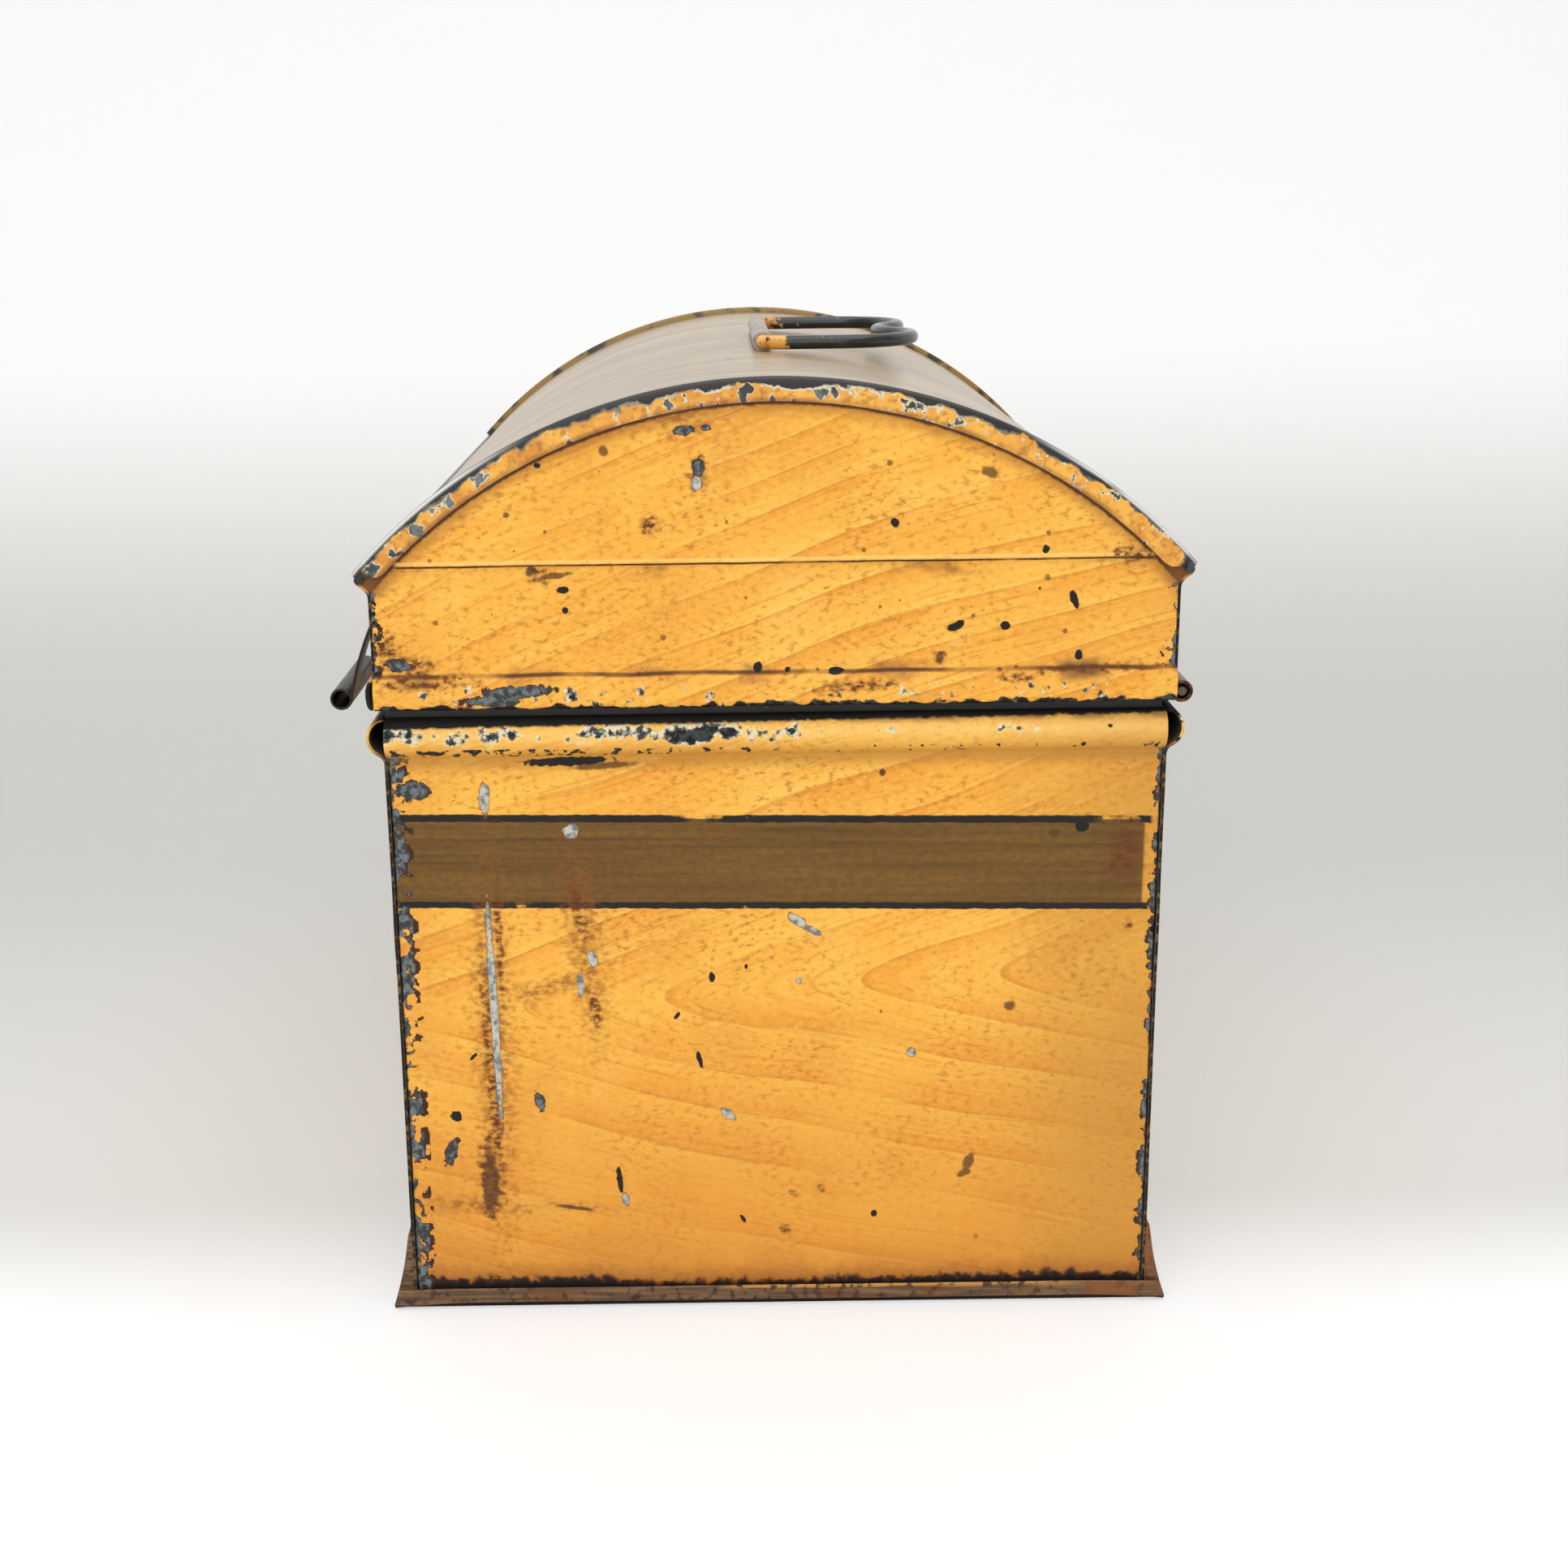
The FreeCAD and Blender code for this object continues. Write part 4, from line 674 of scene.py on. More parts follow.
def tin_paint(name, colour, dull, spot):
    """Bare or lightly lacquered tin, browned in places."""
    finish = Finish(name, colour, dull, 0.55)
    over = finish.over
    cloud = finish.noise(7, 1, 5)
    streak = finish.noise(1.4, 2, 4)
    over(cloud.ease(0.42, 0.7) * 0.6, spot, dull + 0.15, 0.25)
    over(streak.ease(0.6, 0.72) * 0.6, tone(58, 48, 40), 0.6, 0.2)
    over(streak.ease(0.4, 0.28) * 0.4, tone(176, 176, 170), dull, 0.6)
    finish.height = (cloud - 0.5) * 0.05 + (streak - 0.5) * 0.02
    return finish.done()


top_paint = dome_paint()
rust_and_shadow_tin = tray_paint()
bail_lacquer = bail_paint()
hasp_lacquer = black_paint("hasp_lacquer", 0.02)
staple_lacquer = black_paint("staple_lacquer", 0.05)
# painted shade: the collars sit in the gap between lid and base and are made black for the shadow there
collar_tin = black_paint("collar_tin", -0.05)
lining_tin = tin_paint("lining_tin", tone(128, 121, 110), 0.48, tone(116, 92, 68))
clip_tin = tin_paint("clip_tin", tone(168, 160, 150), 0.4, tone(140, 124, 104))
hinge_tin = tin_paint("hinge_tin", tone(92, 78, 64), 0.5, tone(92, 58, 36))
browned_wire = tin_paint("browned_wire", tone(96, 84, 74), 0.5, tone(80, 52, 34))


def arc(centre, radius, start, stop, count):
    """Points on an arc in the section plane, angles in degrees from outward towards up."""
    points = []
    for i in range(count + 1):
        angle = math.radians(start + (stop - start) * i / count)
        points.append((centre[0] + radius * math.cos(angle), centre[1] + radius * math.sin(angle)))
    return points


def spread(start, stop, step):
    """Even places from start to stop, about step apart."""
    count = max(1, round(abs(stop - start) / step))
    return [start + (stop - start) * i / count for i in range(count + 1)]


def uneven(place, size, seed):
    """Hand-made unevenness from -1 to 1 at a place, in lumps of the size given in millimetres."""
    return rough_noise(Vector(place) / size + Vector((seed, 2.7 * seed, -seed)))


def mesh_object(name, points, faces, edges=()):
    """A mesh of points given in millimetres, linked to the scene."""
    mesh = bpy.data.meshes.new(name)
    mesh.from_pydata([Vector(point) * MM for point in points], edges, faces)
    piece = bpy.data.objects.new(name, mesh)
    bpy.context.scene.collection.objects.link(piece)
    return piece


def grid_faces(rows, keep=None):
    """Faces over a grid of points, row by row; keep says which cells are sheet and which are cut out."""
    width = len(rows[0])
    faces = []
    for i in range(len(rows) - 1):
        for j in range(width - 1):
            corners = (rows[i][j], rows[i + 1][j + 1])
            if keep and not keep(*[(a + b) / 2 for a, b in zip(*corners)]):
                continue
            start = i * width + j
            faces.append((start, start + 1, start + width + 1, start + width))
    return faces


def face_out(mesh, inside):
    """Turn the faces of an open sheet away from a point inside the trunk."""
    mesh.update()
    total = sum((face.center - Vector(inside) * MM).dot(face.normal) * face.area for face in mesh.polygons)
    if total < 0:
        mesh.flip_normals()


def smooth(mesh):
    """Shade smooth, but not over folds."""
    mesh.shade_smooth()
    mesh.set_sharp_from_angle(angle=math.radians(40))


def settle(piece):
    """Apply the modifiers to the mesh and shade it smooth."""
    bpy.context.view_layer.update()
    shape = piece.evaluated_get(bpy.context.evaluated_depsgraph_get())
    made = bpy.data.meshes.new_from_object(shape)
    piece.modifiers.clear()
    old = piece.data
    piece.data = made
    bpy.data.meshes.remove(old)
    made.name = piece.name
    smooth(made)


def thicken(piece):
    """Give a sheet its gauge inwards, with softened edges; the new inner faces take the second material."""
    solid = piece.modifiers.new("gauge", "SOLIDIFY")
    solid.thickness = GAUGE * MM
    solid.offset = -1
    solid.use_even_offset = True
    solid.material_offset = 1
    edge = piece.modifiers.new("edge", "BEVEL")
    edge.width = EDGE_ROUND * MM
    edge.segments = 2
    edge.limit_method = "ANGLE"
    edge.angle_limit = math.radians(60)


def bent_sheet(name, rows, inside=(0, 0, 80), keep=None):
    """A sheet through rows of points, facing away from a point inside and thickened to the gauge."""
    points = [point for row in rows for point in row]
    piece = mesh_object(name, points, grid_faces(rows, keep))
    tidy = bmesh.new()
    tidy.from_mesh(piece.data)
    loose = [vert for vert in tidy.verts if not vert.link_faces]
    bmesh.ops.delete(tidy, geom=loose, context="VERTS")
    bmesh.ops.remove_doubles(tidy, verts=tidy.verts, dist=1e-6)
    tidy.to_mesh(piece.data)
    tidy.free()
    face_out(piece.data, inside)
    piece.data.materials.append(None)
    piece.data.materials.append(None)
    thicken(piece)
    settle(piece)
    return piece


def place(piece, body, nodes, slot, material, lining=None):
    """Hang a finished piece on its body in place of its CAD nodes; a lining goes on its inner faces."""
    sides = [face.material_index if lining else 0 for face in piece.data.polygons]
    piece.data.materials.clear()
    piece.data.materials.append(material)
    if lining:
        piece.data.materials.append(lining)
    piece.data.polygons.foreach_set("material_index", sides)
    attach(piece, body)
    if nodes:
        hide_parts(*nodes)


def joined(name, pieces):
    """One mesh from several finished sheets."""
    whole = bmesh.new()
    for piece in pieces:
        whole.from_mesh(piece.data)
        old = piece.data
        bpy.data.objects.remove(piece)
        bpy.data.meshes.remove(old)
    piece = mesh_object(name, [], [])
    whole.to_mesh(piece.data)
    whole.free()
    smooth(piece.data)
    return piece


# Wires and rivets, made by node trees

def new_tree(name, inputs):
    """A node tree for shapes with named inputs; gives its nodes, its input values and its socket names."""
    tree = bpy.data.node_groups.new(name, "GeometryNodeTree")
    tree.interface.new_socket("Shape", in_out="OUTPUT", socket_type="NodeSocketGeometry")
    sockets = {}
    for label, kind in inputs:
        sockets[label] = tree.interface.new_socket(label, in_out="INPUT", socket_type=kind)
    nodes = Nodes(tree)
    return nodes, nodes.add("NodeGroupInput"), sockets


def close_tree(nodes, shape, given):
    """End a tree: instances made real, the material set, the shape handed out."""
    real = nodes.add("GeometryNodeRealizeInstances", inputs={"Geometry": shape})
    dressed = nodes.add("GeometryNodeSetMaterial", inputs={"Geometry": real, "Material": given.out("Finish")})
    end = nodes.tree.nodes.new("NodeGroupOutput")
    nodes.tree.links.new(dressed.socket, end.inputs["Shape"])


def wire_tree():
    """A round wire along the line of a path."""
    nodes, given, sockets = new_tree("wire_along_path", (
        ("Path", "NodeSocketGeometry"), ("Thickness", "NodeSocketFloat"), ("Sides", "NodeSocketInt"),
        ("Finish", "NodeSocketMaterial")))
    line = nodes.add("GeometryNodeMeshToCurve", inputs={"Mesh": given.out("Path")})
    ring = nodes.add("GeometryNodeCurvePrimitiveCircle", {"mode": "RADIUS"},
                     {"Resolution": given.out("Sides"), "Radius": given.out("Thickness") * 0.5})
    tube = nodes.add("GeometryNodeCurveToMesh", inputs={"Curve": line, "Profile Curve": ring, "Fill Caps": True})
    close_tree(nodes, tube, given)
    return nodes.tree, sockets


def rivet_tree():
    """Low round rivet heads in a row along X."""
    nodes, given, sockets = new_tree("row_of_rivets", (
        ("Path", "NodeSocketGeometry"), ("Count", "NodeSocketInt"), ("Spacing", "NodeSocketFloat"),
        ("Head", "NodeSocketFloat"), ("Rise", "NodeSocketFloat"), ("Seat", "NodeSocketVector"),
        ("Finish", "NodeSocketMaterial")))
    spacing, count, head = given.out("Spacing"), given.out("Count"), given.out("Head")
    start = nodes.vector(spacing * (count - 1) * -0.5, 0, 0)
    row = nodes.add("GeometryNodeMeshLine", {"mode": "OFFSET"}, {"Count": count, "Start Location": start,
                                                                "Offset": nodes.vector(spacing, 0, 0)})
    ball = nodes.add("GeometryNodeMeshUVSphere", inputs={"Segments": 28, "Rings": 14, "Radius": head * 0.5})
    low = nodes.add("GeometryNodeTransform", inputs={"Geometry": ball,
                                                     "Scale": nodes.vector(1, given.out("Rise") / (head * 0.5), 1)})
    heads = nodes.add("GeometryNodeInstanceOnPoints", inputs={"Points": row, "Instance": low})
    seated = nodes.add("GeometryNodeTransform", inputs={"Geometry": heads, "Translation": given.out("Seat")})
    close_tree(nodes, seated, given)
    return nodes.tree, sockets


def grow(piece, made, values):
    """Run a node tree on a piece with its inputs set and keep the plain mesh."""
    tree, sockets = made
    modifier = piece.modifiers.new(tree.name, "NODES")
    modifier.node_group = tree
    for label, value in values.items():
        modifier[sockets[label].identifier] = value
    piece.update_tag()
    settle(piece)
    shape = bmesh.new()
    shape.from_mesh(piece.data)
    bmesh.ops.recalc_face_normals(shape, faces=shape.faces)
    shape.to_mesh(piece.data)
    shape.free()
    return piece


WIRE = wire_tree()
RIVETS = rivet_tree()


def wire(name, points, thickness, sides, material):
    """A wire along a line through points."""
    line = mesh_object(name, points, [], [(i, i + 1) for i in range(len(points) - 1)])
    return grow(line, WIRE, {"Thickness": thickness * MM, "Sides": sides, "Finish": material})


def both_ways(half, z):
    """A level line made of one half and its mirror image, from the one end to the other."""
    return [(x, y, z) for x, y in half + [(-x, y) for x, y in reversed(half[:-1])]]


# Base walls

def bead_section():
    """Section of a base wall, outward and up: flat sheet, soft foot, round bead, top edge turned in."""
    half = BEAD_TALL / 2
    middle = WALL_RISE + half
    core = BEAD_PROUD - half
    foot = 1.6
    drop = math.sqrt((half + foot) ** 2 - (foot - core) ** 2)
    foot_z = middle - drop
    lean = math.degrees(math.atan2(-drop, foot - core))
    points = [(0, z) for z in spread(GAUGE, foot_z, 2.2)[:-1]]
    points += arc((foot, foot_z), foot, 180, lean + 180, 6)[:-1]
    points += arc((core, middle), half, lean, 84, 22)
    return points


def base_wall(section, along, side, half, across):
    """Rows of points of a base wall; across gives place and turn-back at the upright edges."""
    rows = []
    for out, z in section:
        row = []
        for run, turn in across:
            bead = min(1, max(0, (z - WALL_RISE + 2.5) / 2))
            here = (run, z, 7 * half)
            dent = 0.16 * uneven(here, 34, 1.3) + 0.07 * uneven(here, 11, 4.1) - 0.12
            low = min(1, max(0, (92 - z) / 10))
            depth = half + out - turn * (1 - bead) + dent * (0.25 + 0.75 * low)
            spot = (side * depth, run, z) if along == "Y" else (run, side * depth, z)
            row.append(spot)
        rows.append(row)
    return rows


def edge_turns(half, radius):
    """Places across an end wall with the turn-back of its rounded upright edges."""
    turned = [(half - radius + radius * math.sin(math.radians(a)), radius * (1 - math.cos(math.radians(a))))
              for a in (12, 25, 40, 55, 70, 85)]
    flat = [(run, 0) for run in spread(-half + radius, half - radius, 1.6)]
    return [(-run, turn) for run, turn in reversed(turned)] + flat + turned


section = bead_section()
end_across = edge_turns(BASE_HALF_WIDTH - GAUGE, 0.9)
long_across = [(run, 0) for run in spread(-BASE_HALF_LENGTH, BASE_HALF_LENGTH, 2)]
for label, along, side, half, across, paint in (
        ("base_right_end", "Y", 1, BASE_HALF_LENGTH, end_across, right_end_paint),
        ("base_left_end", "Y", -1, BASE_HALF_LENGTH, end_across, left_end_paint),
        ("base_front_panel", "X", -1, BASE_HALF_WIDTH, long_across, front_paint),
        ("base_back_panel", "X", 1, BASE_HALF_WIDTH, long_across, back_paint)):
    wall = bent_sheet(f"{label}_tin", base_wall(section, along, side, half, across))
    place(wall, "base", [label], "grained_tin", paint, lining_tin)


# Lid walls

def rim_section(low):
    """Rim of a lid wall: small ledge, rounded lip and turned-in lower edge."""
    return [(0.15, low), (0.55, low + 0.12), (0.9, low + 0.5), (1.1, low + 1.2), (RIM_PROUD, low + 2.2),
            (1.18, low + 3.2), (1.08, low + 3.9), (0.86, low + 4.5), (0.52, low + 4.9), (0.22, low + 5.15),
            (0.06, low + RIM_TALL), (0, low + RIM_TALL + 0.5)]


def cove_section():
    """The flare of a lid wall under the eave."""
    return [(COVE_OUT * t ** COVE_CURVE, COVE_LOW + (COVE_TOP - COVE_LOW) * t)
            for t in (0, 0.15, 0.3, 0.45, 0.6, 0.75, 0.9, 1)]


front_section = rim_section(LID_LOW) + [(0, z) for z in spread(LID_LOW + 7, COVE_LOW - 1, 2)] + cove_section()
roll = [(HINGE_Y - LID_HALF_WIDTH + x, z) for x, z in arc((0, HINGE_Z), HINGE_ROLL, 150, -180, 30)]
back_section = roll + [(0, z) for z in spread(HINGE_Z + 1, COVE_LOW - 1, 1.3)] + cove_section()


def lid_long_wall(section, side):
    """Rows of points of the lid's front or back wall, slightly dented above the rim."""
    rows = []
    for out, z in section:
        row = []
        for x in spread(-LID_HALF_LENGTH, LID_HALF_LENGTH, 1.5):
            dent = 0.1 * (uneven((x, z, 3 * side), 28, 2.2) - 1)
            row.append((x, side * (LID_HALF_WIDTH + out + (dent if z > HINGE_Z + 2 else 0)), z))
        rows.append(row)
    return rows


def clear_of_straps(x, y, z):
    """Sheet everywhere but in the two notches of the hinge roll."""
    return z > NOTCH_TOP or abs(abs(x) - STRAP_SPACING / 2) > STRAP_HALF_GAP


place(bent_sheet("lid_front_tin", lid_long_wall(front_section, -1)), "lid", ["lid_front_wall"], "grained_tin",
      lid_front_paint, lining_tin)
place(bent_sheet("lid_back_tin", lid_long_wall(back_section, 1), keep=clear_of_straps), "lid", ["lid_back_wall"],
      "grained_tin", lid_back_paint, lining_tin)


def lid_end_half(z):
    """Half width of the lid's end plate at a height: upright, flared under the eave, then under the arc."""
    inner = LID_HALF_WIDTH - 0.15
    if z <= COVE_LOW:
        return inner
    if z <= COVE_TOP:
        return inner + COVE_OUT * ((z - COVE_LOW) / (COVE_TOP - COVE_LOW)) ** COVE_CURVE
    top = math.sqrt(LINING_RADIUS ** 2 - (z - DOME_AXIS) ** 2)
    return min(inner + COVE_OUT, top)


def lid_end_rows(side):
    """Lower end wall of the lid, from its rim to behind the arched plate."""
    rows = []
    upright = spread(LID_LOW + 7, COVE_LOW, 1.6) + spread(COVE_LOW, LAP_TOP, 0.5)[1:]
    for out, z in rim_section(LID_LOW) + [(0, z) for z in upright]:
        half = lid_end_half(z)
        row = []
        for t in spread(-1, 1, 0.02):
            y = half * t
            dent = 0.09 * (uneven((side * 5, y, z), 26, 3.4) - 1)
            row.append((side * (LID_HALF_LENGTH + out + dent), y, z))
        rows.append(row)
    return rows


def arch_rows(side):
    """Arched end plate of the lid, from the lap line up to the top sheet."""
    rows = []
    half = math.sqrt(LINING_RADIUS ** 2 - (LAP_LINE - DOME_AXIS) ** 2)
    for t in spread(0, 1, 0.04):
        row = []
        for y in spread(-half, half, 1.2):
            top = DOME_AXIS + math.sqrt(LINING_RADIUS ** 2 - y ** 2)
            edge = LAP_LINE + 0.12 * uneven((y, 0, 0), 9, 7.7)
            z = edge + (top - edge) * t
            dent = 0.08 * (uneven((side * 9, y, z), 24, 5.5) - 1)
            row.append((side * (LID_HALF_LENGTH + GAUGE + dent), y, z))
        rows.append(row)
    return rows


for side, name, paint in ((1, "right", lid_right_paint), (-1, "left", lid_left_paint)):
    for label, node, rows in (("end", "end_wall", lid_end_rows(side)), ("arch", "end_arch", arch_rows(side))):
        plate = bent_sheet(f"lid_{name}_{label}_tin", rows)
        place(plate, "lid", [f"lid_{name}_{node}"], "grained_tin", paint, lining_tin)


# Curved top

def dome_rows():
    """Sections round the arc: border, rounded seam edge, raised seam and the sheet between."""
    end = DOME_HALF_LENGTH
    low = RIM_RADIUS - GAUGE - SEAM_BORDER
    half = [(x, TOP_RADIUS) for x in spread(0, end - SEAM_LAP - 1.2, 3)]
    half += [(end - SEAM_LAP - 0.5, TOP_RADIUS), (end - SEAM_LAP - 0.15, TOP_RADIUS + 0.12),
             (end - SEAM_LAP, TOP_RADIUS + 0.5), (end - SEAM_LAP + 0.1, RIM_RADIUS - 0.35),
             (end - SEAM_LAP + 0.4, RIM_RADIUS - 0.06), (end - SEAM_LAP + 0.9, RIM_RADIUS)]
    half += [(end - 0.8 + x, z) for x, z in arc((0, RIM_RADIUS - 0.8), 0.8, 90, 0, 7)]
    border = [(end, r) for r in spread(RIM_RADIUS - 0.8, low, 0.4)[1:]]
    right = [(x, r, 0) for x, r in half] + [(x, r, 1) for x, r in border]
    profile = [(-x, r, trim) for x, r, trim in reversed(right[1:])] + right
    rows = []
    for angle in spread(-ARC_HALF_ANGLE, ARC_HALF_ANGLE, ARC_HALF_ANGLE / 60):
        level = (EAVE - GAUGE - DOME_AXIS) / math.cos(angle)
        row = []
        for x, r, trim in profile:
            if trim:
                r = max(r, min(level, RIM_RADIUS - 0.8))
            dent = 0
            if abs(x) < end - 4:
                here = (x, 80 * angle, 0)
                dent = 0.16 * (uneven(here, 45, 6.1) - 1) + 0.05 * (uneven(here, 14, 8.8) - 1)
                dent *= min(1, (end - 4 - abs(x)) / 8)
            reach = r + dent
            row.append((x, reach * math.sin(angle), DOME_AXIS + reach * math.cos(angle)))
        rows.append(row)
    return rows


def eave_path(side):
    """Line of the wired edge along an eave."""
    middle = (TOP_RADIUS - GAUGE / 2) / RIM_RADIUS
    return [(x, side * middle * EAVE_HALF, DOME_AXIS + middle * (EAVE - DOME_AXIS))
            for x in (-DOME_HALF_LENGTH + 0.3, 0, DOME_HALF_LENGTH - 0.3)]


eaves = [wire("eave_roll", eave_path(side), EAVE_ROLL, 16, top_paint) for side in (1, -1)]
dome = joined("lid_dome_tin", [bent_sheet("dome_sheet", dome_rows())] + eaves)
place(dome, "lid", ["lid_dome"], "lid_top_tin", top_paint, lining_tin)


# Bottom tray

def skirt_out(t):
    """How far the plinth skirt stands out, slightly hollow, from the floor at 0 to its lip at 1."""
    return PLINTH_OUT + (GAUGE - PLINTH_OUT) * t - 0.25 * math.sin(math.pi * t)


def skirt_rows(side):
    """A sloping plinth skirt from the fold at the floor up to its lip."""
    rows = []
    for t in spread(0, 1, 0.1):
        row = []
        for x in spread(-BASE_HALF_LENGTH, BASE_HALF_LENGTH, 2.5):
            dent = 0.12 * (uneven((x, 20 * t, 4 * side), 17, 9.4) - 1) * math.sin(math.pi * t)
            row.append((x, side * (BASE_HALF_WIDTH + skirt_out(t) + dent), 0.12 + (PLINTH_RISE - 0.12) * t))
        rows.append(row)
    return rows


def flange_rows(side):
    """The low end flange, beaten up round the foot of the wall, clear of the floor except at its corners, with a sheet
    behind it down to the floor as painted shadow.
    """
    reach = BASE_HALF_WIDTH + PLINTH_OUT - 0.25
    # the first point drops a sheet from the back of the flange to the floor; the tray's paint turns it black as
    # painted shadow under the flange
    section = [(-0.95, -9), (-0.9, 0), (-0.45, 0.05), (-0.12, 0.3), (0, 0.75), (0, 1.6), (-0.02, 2.5),
               (-0.12, 3.1), (-0.3, 3.45)]
    rows = []
    for out, z in section:
        row = []
        narrow = 1 - PLINTH_OUT * max(0, z) / (PLINTH_RISE * reach)
        for y in spread(-reach, reach, 1):
            corner = max(0, (abs(y) - 50) / (reach - 50))
            lift = 0.8 * (1 - corner ** 2) + 0.1
            sag = 0.12 * uneven((y, 0, side), 12, 3.3) + 0.05 * uneven((y, z, side), 4, 5.9)
            foot = (1 - 0.75 * z / section[-1][1]) * lift
            row.append((side * (BASE_HALF_LENGTH + FLANGE_OUT + out - 0.06 + 0.6 * min(0, sag)), y * narrow,
                        max(0.04, z + foot + 0.5 * sag * (z > 1))))
        rows.append(row)
    return rows


def ear_rows(side, edge):
    """A triangular ear closing the end of a plinth skirt."""
    rows = []
    for t in spread(0, 1, 0.1):
        z = 0.12 + (PLINTH_RISE - 0.5) * t
        out = skirt_out(t) - 0.1
        rows.append([(side * (BASE_HALF_LENGTH - 0.05), edge * (BASE_HALF_WIDTH - 0.3 + (out + 0.3) * s), z)
                     for s in (0, 0.25, 0.5, 0.75, 1)])
    return rows


tray = [bent_sheet("tray_skirt", skirt_rows(side)) for side in (1, -1)]
tray += [bent_sheet("tray_flange", flange_rows(side), inside=(0, 0, 20)) for side in (1, -1)]
tray += [bent_sheet("tray_ear", ear_rows(side, edge)) for side in (1, -1) for edge in (1, -1)]
floor_plate = [[(x, y, 0.1) for y in spread(-BASE_HALF_WIDTH - 3, BASE_HALF_WIDTH + 3, 4)]
               for x in spread(-BASE_HALF_LENGTH, BASE_HALF_LENGTH, 4)]
tray.append(bent_sheet("tray_plate", floor_plate, inside=(0, 0, 50)))
place(joined("bottom_tray_tin", tray), "base", ["bottom_tray"], "rusted_tin", rust_and_shadow_tin)


# Hasp flap

def flap_section():
    """Wall side of the flap about its pin, outward negative: roll over the pin, bowed strap, curl at the foot."""
    near = -HASP_BORE
    end = near - HASP_KICK
    roll = arc((0, 0), HASP_BORE, -75, 180, 18)
    strap = []
    for t in spread(0, 1, 0.04)[1:]:
        strap.append((near + (end - near) * t - HASP_BOW * 4 * t * (1 - t), -HASP_DROP * t))
    curl = arc((end - HASP_CURL / 2, -HASP_DROP), HASP_CURL / 2, 0, -330, 26)[1:]
    return roll + strap + curl


flap_across = sorted(set(spread(-HASP_HALF, -SLOT_HALF, 1.5) + spread(-SLOT_HALF, -HASP_KNUCKLE, 1.25)
                         + spread(-HASP_KNUCKLE, HASP_KNUCKLE, 1.5) + spread(HASP_KNUCKLE, SLOT_HALF, 1.25)
                         + spread(SLOT_HALF, HASP_HALF, 1.5)))


def flap_place(out, up):
    """From the flap's own section to the trunk, leaning out from the front."""
    cos, sin = math.cos(HASP_LEAN), math.sin(HASP_LEAN)
    return HASP_Y + out * cos + up * sin, HASP_Z + up * cos - out * sin


flap_rows = []
for out, up in flap_section():
    y, z = flap_place(out, up)
    flap_rows.append([(x, y, z) for x in flap_across])


def flap_sheet(x, y, z):
    """Sheet everywhere but beside the knuckle and in the slot."""
    cos, sin = math.cos(HASP_LEAN), math.sin(HASP_LEAN)
    up = (z - HASP_Z) * cos + (y - HASP_Y) * sin
    if up > -HASP_ROLL - 0.5:
        return abs(x) < HASP_KNUCKLE
    return not (abs(x) < SLOT_HALF and abs(up + SLOT_DROP) < SLOT_TALL / 2)


flap = bent_sheet("hasp_flap_tin", flap_rows, inside=(0, -400, 60), keep=flap_sheet)
place(flap, "hasp", ["hasp_flap"], "black_tin", hasp_lacquer)


def bail_path():
    """Bail from one tail in the clip round both lobes and the finger dip to the other tail."""
    lobe_x, lobe_y = BAIL_ARM - BAIL_LOBE, BAIL_REACH - BAIL_LOBE
    both = (lobe_x ** 2 + BAIL_DIP ** 2) / (2 * BAIL_DIP)
    lean = math.degrees(math.atan2(both - BAIL_DIP, -lobe_x))
    half = [(BAIL_ARM - BAIL_TAIL, 0), (BAIL_ARM - BAIL_TAIL / 2, 0)]
    half += arc((BAIL_ARM - BAIL_BEND, BAIL_BEND), BAIL_BEND, -90, 0, 10)
    half += [(BAIL_ARM, y) for y in spread(BAIL_BEND, lobe_y, 2)[1:-1]]
    half += arc((lobe_x, lobe_y), BAIL_LOBE, 0, lean, 44)
    half += arc((0, lobe_y + both - BAIL_DIP), both - BAIL_LOBE, lean - 180, -90, 12)[1:]
    return both_ways(half, BAIL_Z)


bail = wire("handle_bail_wire", bail_path(), BAIL_WIRE, 24, bail_lacquer)
place(bail, "bail", ["handle_bail"], "black_wire", bail_lacquer)


def staple_path():
    """Staple from one clinched leg inside the wall round the loop to the other."""
    inside = -(BASE_HALF_WIDTH - GAUGE - STAPLE_BEND)
    half = [(STAPLE_HALF + STAPLE_CLINCH, inside), (STAPLE_HALF + STAPLE_BEND, inside)]
    half += arc((STAPLE_HALF + STAPLE_BEND, inside - STAPLE_BEND), STAPLE_BEND, 90, 180, 8)[1:]
    loop = STAPLE_TIP + STAPLE_HALF
    half += [(STAPLE_HALF, y) for y in spread(inside - STAPLE_BEND, loop, 1)[1:]]
    half += arc((0, loop), STAPLE_HALF, 0, -90, 16)[1:]
    return both_ways(half, STAPLE_Z)


staple = wire("hasp_staple_wire", staple_path(), STAPLE_WIRE, 20, staple_lacquer)
place(staple, "base", ["hasp_staple"], "black_wire", staple_lacquer)

rivets = grow(mesh_object("hasp_rivet_heads", [], []), RIVETS,
              {"Count": 2, "Spacing": RIVET_SPACING * MM, "Head": RIVET_HEAD * MM, "Rise": RIVET_RISE * MM,
               "Seat": (0, -(LID_HALF_WIDTH + GAUGE) * MM, RIVET_Z * MM), "Finish": hasp_lacquer})
place(rivets, "lid", ["hasp_rivets"], "black_tin", hasp_lacquer)


# The remaining solids are shown as they are, in their own finishes

SHOWN = {collar_tin: ("collar_front", "collar_back", "collar_right", "collar_left"),
         hinge_tin: ("hinge_strap_right", "hinge_strap_left"), browned_wire: ("hinge_wire", "hasp_pin"),
         clip_tin: ("handle_clip",), hasp_lacquer: ("hasp_leaf",)}
for material, names in SHOWN.items():
    for name in names:
        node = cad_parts[name]
        node.data.materials.clear()
        node.data.materials.append(material)


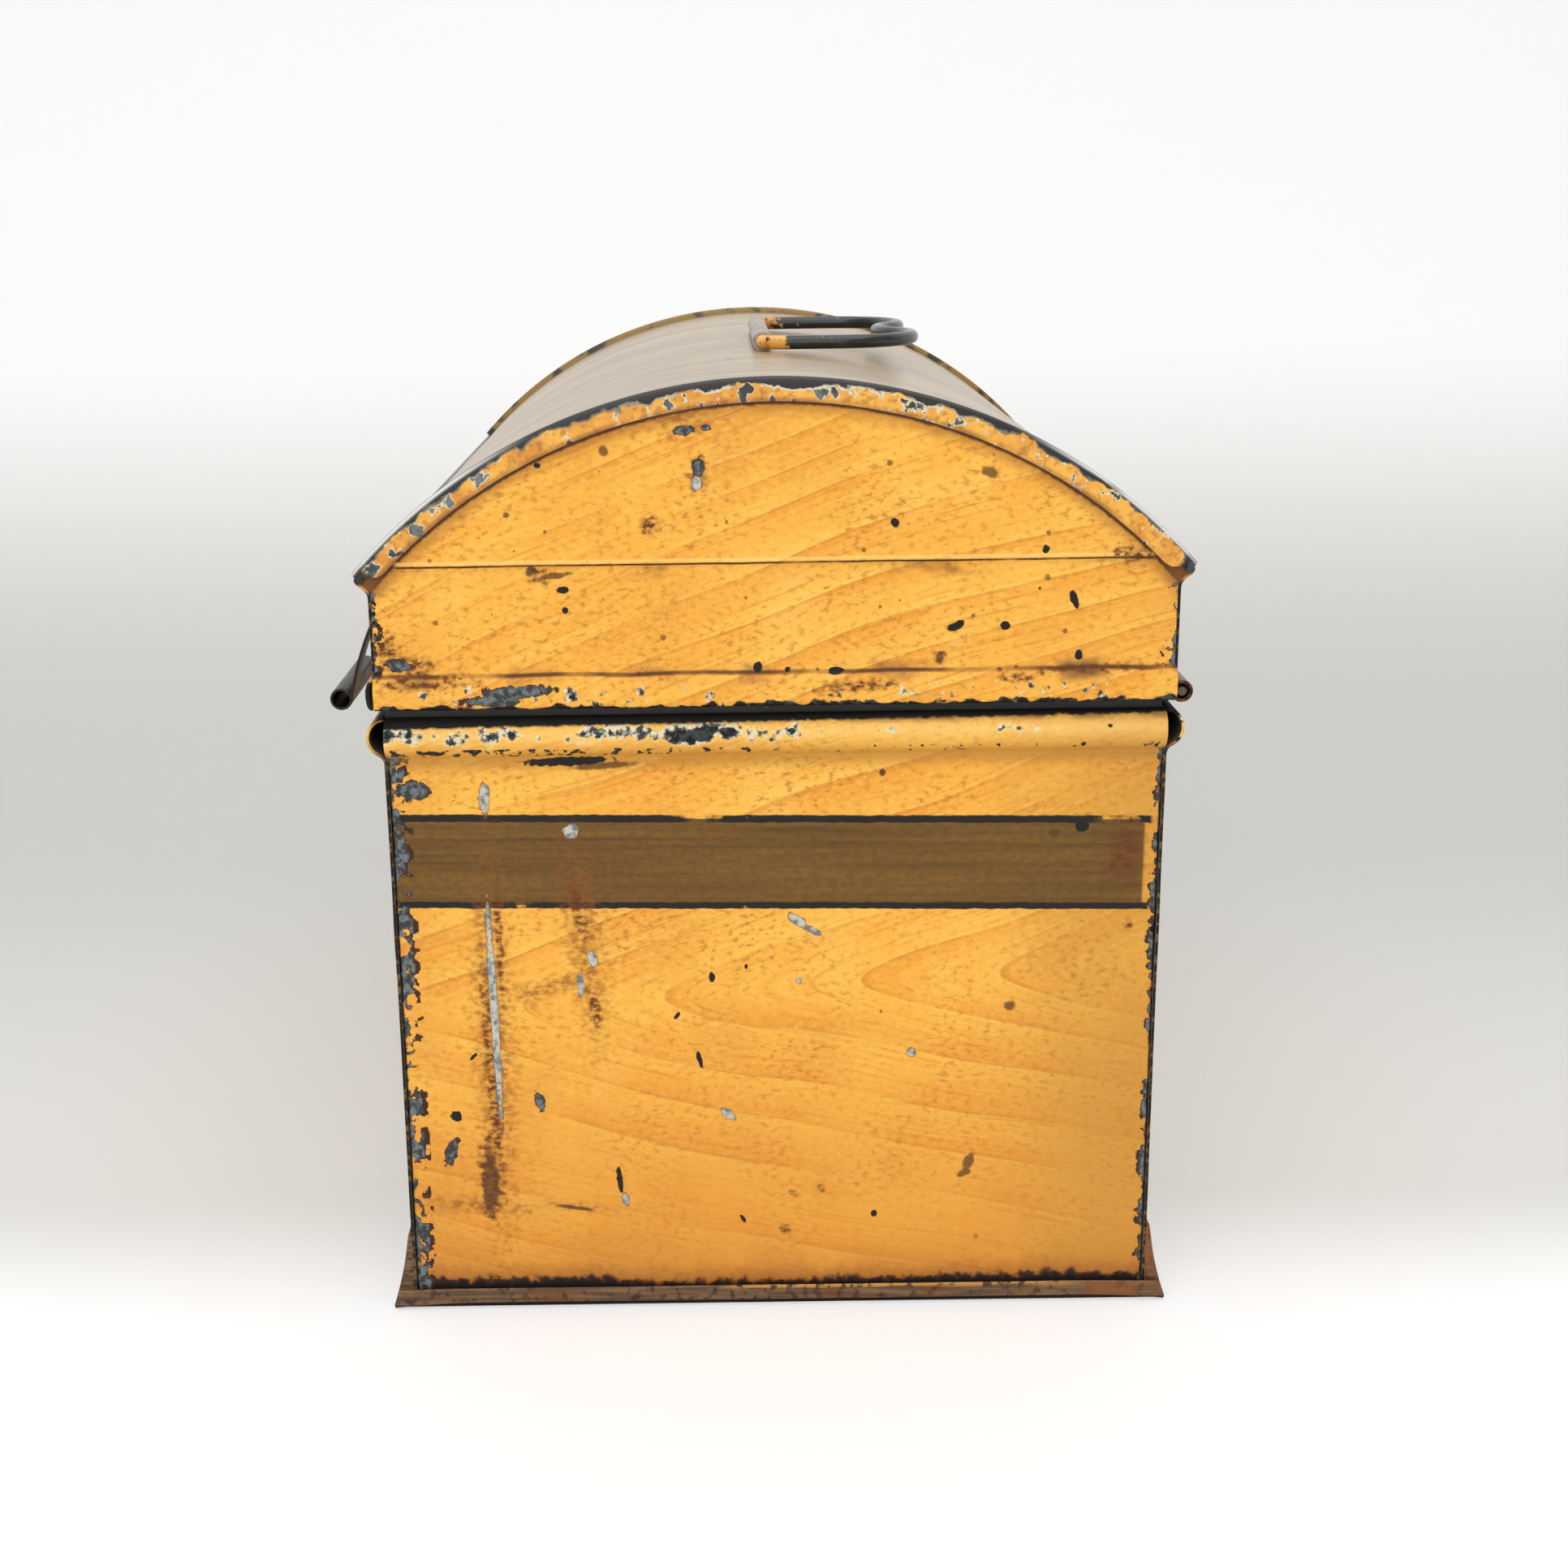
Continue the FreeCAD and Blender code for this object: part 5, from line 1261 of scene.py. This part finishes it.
# Floor and backdrop in one sheet, light and camera

SWEEP_START = -190.0
SWEEP_RADIUS = 320.0
SWEEP_REACH = 4000
SWEEP_WHITE = tone(250, 250, 249)
SWEEP_NEAR = tone(222, 221, 217)
SWEEP_SHADE = tone(204, 203, 199)
SWEEP_FAR = (0.95, 0.95, 0.95)
SWEEP_GLOW = 0.55
WHITE = (1.0, 1.0, 1.0)
SKY_LIGHT = 0.5
SKY_SEEN = 0.95
LENS = 49.34
SENSOR = 36.0
LENS_SHIFT = 0.0414
CAMERA_SPOT = (0.4303, -0.0082, 0.1819)
CAMERA_TURN = (74.649, 0.803, 89.912)


def sweep_rows():
    """Paper along the floor, up in a wide curve behind the trunk, and on up."""
    profile = [(x, 0.0) for x in (SWEEP_REACH, 2000, 1200, 800, 500, 300, 200, 100, 0, -100)]
    for angle in spread(0, math.pi / 2, math.pi / 36):
        profile.append((SWEEP_START - SWEEP_RADIUS * math.sin(angle), SWEEP_RADIUS * (1 - math.cos(angle))))
    profile += [(SWEEP_START - SWEEP_RADIUS, z) for z in (450, 700, 1100, 1600)]
    return [[(x, y, z) for y in spread(-SWEEP_REACH, SWEEP_REACH, 250)] for x, z in profile]


def sweep_paper():
    """White paper with painted shade that greys it behind the trunk and lightens it again up the backdrop; the camera
    sees this tone as glow, and the paper still takes the shadow.
    """
    finish = Finish("sweep_paper", WHITE, 1.0)
    x, y, z = finish.x, finish.y, finish.z
    # painted light and shade of the studio: white in front of the trunk, grey behind it, paler again up the backdrop,
    # and even white far off
    front = x.ease(55.0, 112.0)
    back = x.ease(60.0, -170.0)
    rise = z.ease(6.0, 130.0)
    tint = finish.blend(back, SWEEP_NEAR, SWEEP_SHADE)
    tint = finish.blend(rise, tint, SWEEP_WHITE)
    tint = finish.blend(front, tint, WHITE)
    far = abs(y).ease(450.0, 1000.0).most(x.ease(450.0, 1000.0))
    tint = finish.blend(far, tint, SWEEP_FAR)
    ray = finish.add("ShaderNodeLightPath")
    seen = ray.out("Is Camera Ray").most(ray.out("Is Glossy Ray")).most(ray.out("Is Transmission Ray"))
    lit = finish.add("ShaderNodeBsdfDiffuse", inputs={"Color": tint})
    glow = finish.add("ShaderNodeEmission", inputs={"Color": tint, "Strength": 1.0})
    share = seen * (far * (1 - SWEEP_GLOW) + SWEEP_GLOW)
    return finish.shown(finish.add("ShaderNodeMixShader", inputs={0: share, 1: lit, 2: glow}).socket)


rows = sweep_rows()
sweep = mesh_object("paper_sweep", [point for row in rows for point in row], grid_faces(rows))
face_out(sweep.data, (0, 0, -2000))
sweep.data.shade_smooth()
sweep.data.materials.append(sweep_paper())


def soft_light(name, energy, size, spot, aim):
    """A rectangular softbox in watts and metres, turned to what it lights."""
    lamp = bpy.data.objects.new(name, bpy.data.lights.new(name, "AREA"))
    lamp.data.shape = "RECTANGLE"
    lamp.data.size, lamp.data.size_y = size
    lamp.data.energy = energy
    lamp.location = spot
    lamp.rotation_euler = (Vector(aim) - Vector(spot)).to_track_quat("-Z", "Y").to_euler()
    bpy.context.scene.collection.objects.link(lamp)


soft_light("overhead_softbox", 7.6, (1.2, 1.2), (0.25, 0.0, 1.1), (0.0, 0.0, 0.05))
soft_light("front_softbox", 3.4, (1.0, 0.8), (1.1, -0.25, 0.5), (0.1, 0.0, 0.08))

world = bpy.data.worlds.new("studio")
bpy.context.scene.world = world
world.use_nodes = True
air = Nodes(world.node_tree)
sky = world.node_tree.nodes["Background"]
air.feed(sky.inputs["Color"], WHITE)
seen = air.add("ShaderNodeLightPath", out="Is Camera Ray")
air.feed(sky.inputs["Strength"], seen * (SKY_SEEN - SKY_LIGHT) + SKY_LIGHT)

camera = bpy.data.objects.new("camera", bpy.data.cameras.new("camera"))
bpy.context.scene.collection.objects.link(camera)
camera.data.lens = LENS
camera.data.sensor_width = SENSOR
camera.data.shift_x = LENS_SHIFT
camera.location = CAMERA_SPOT
camera.rotation_euler = [math.radians(angle) for angle in CAMERA_TURN]
bpy.context.scene.camera = camera
bpy.context.scene.view_settings.view_transform = "Standard"
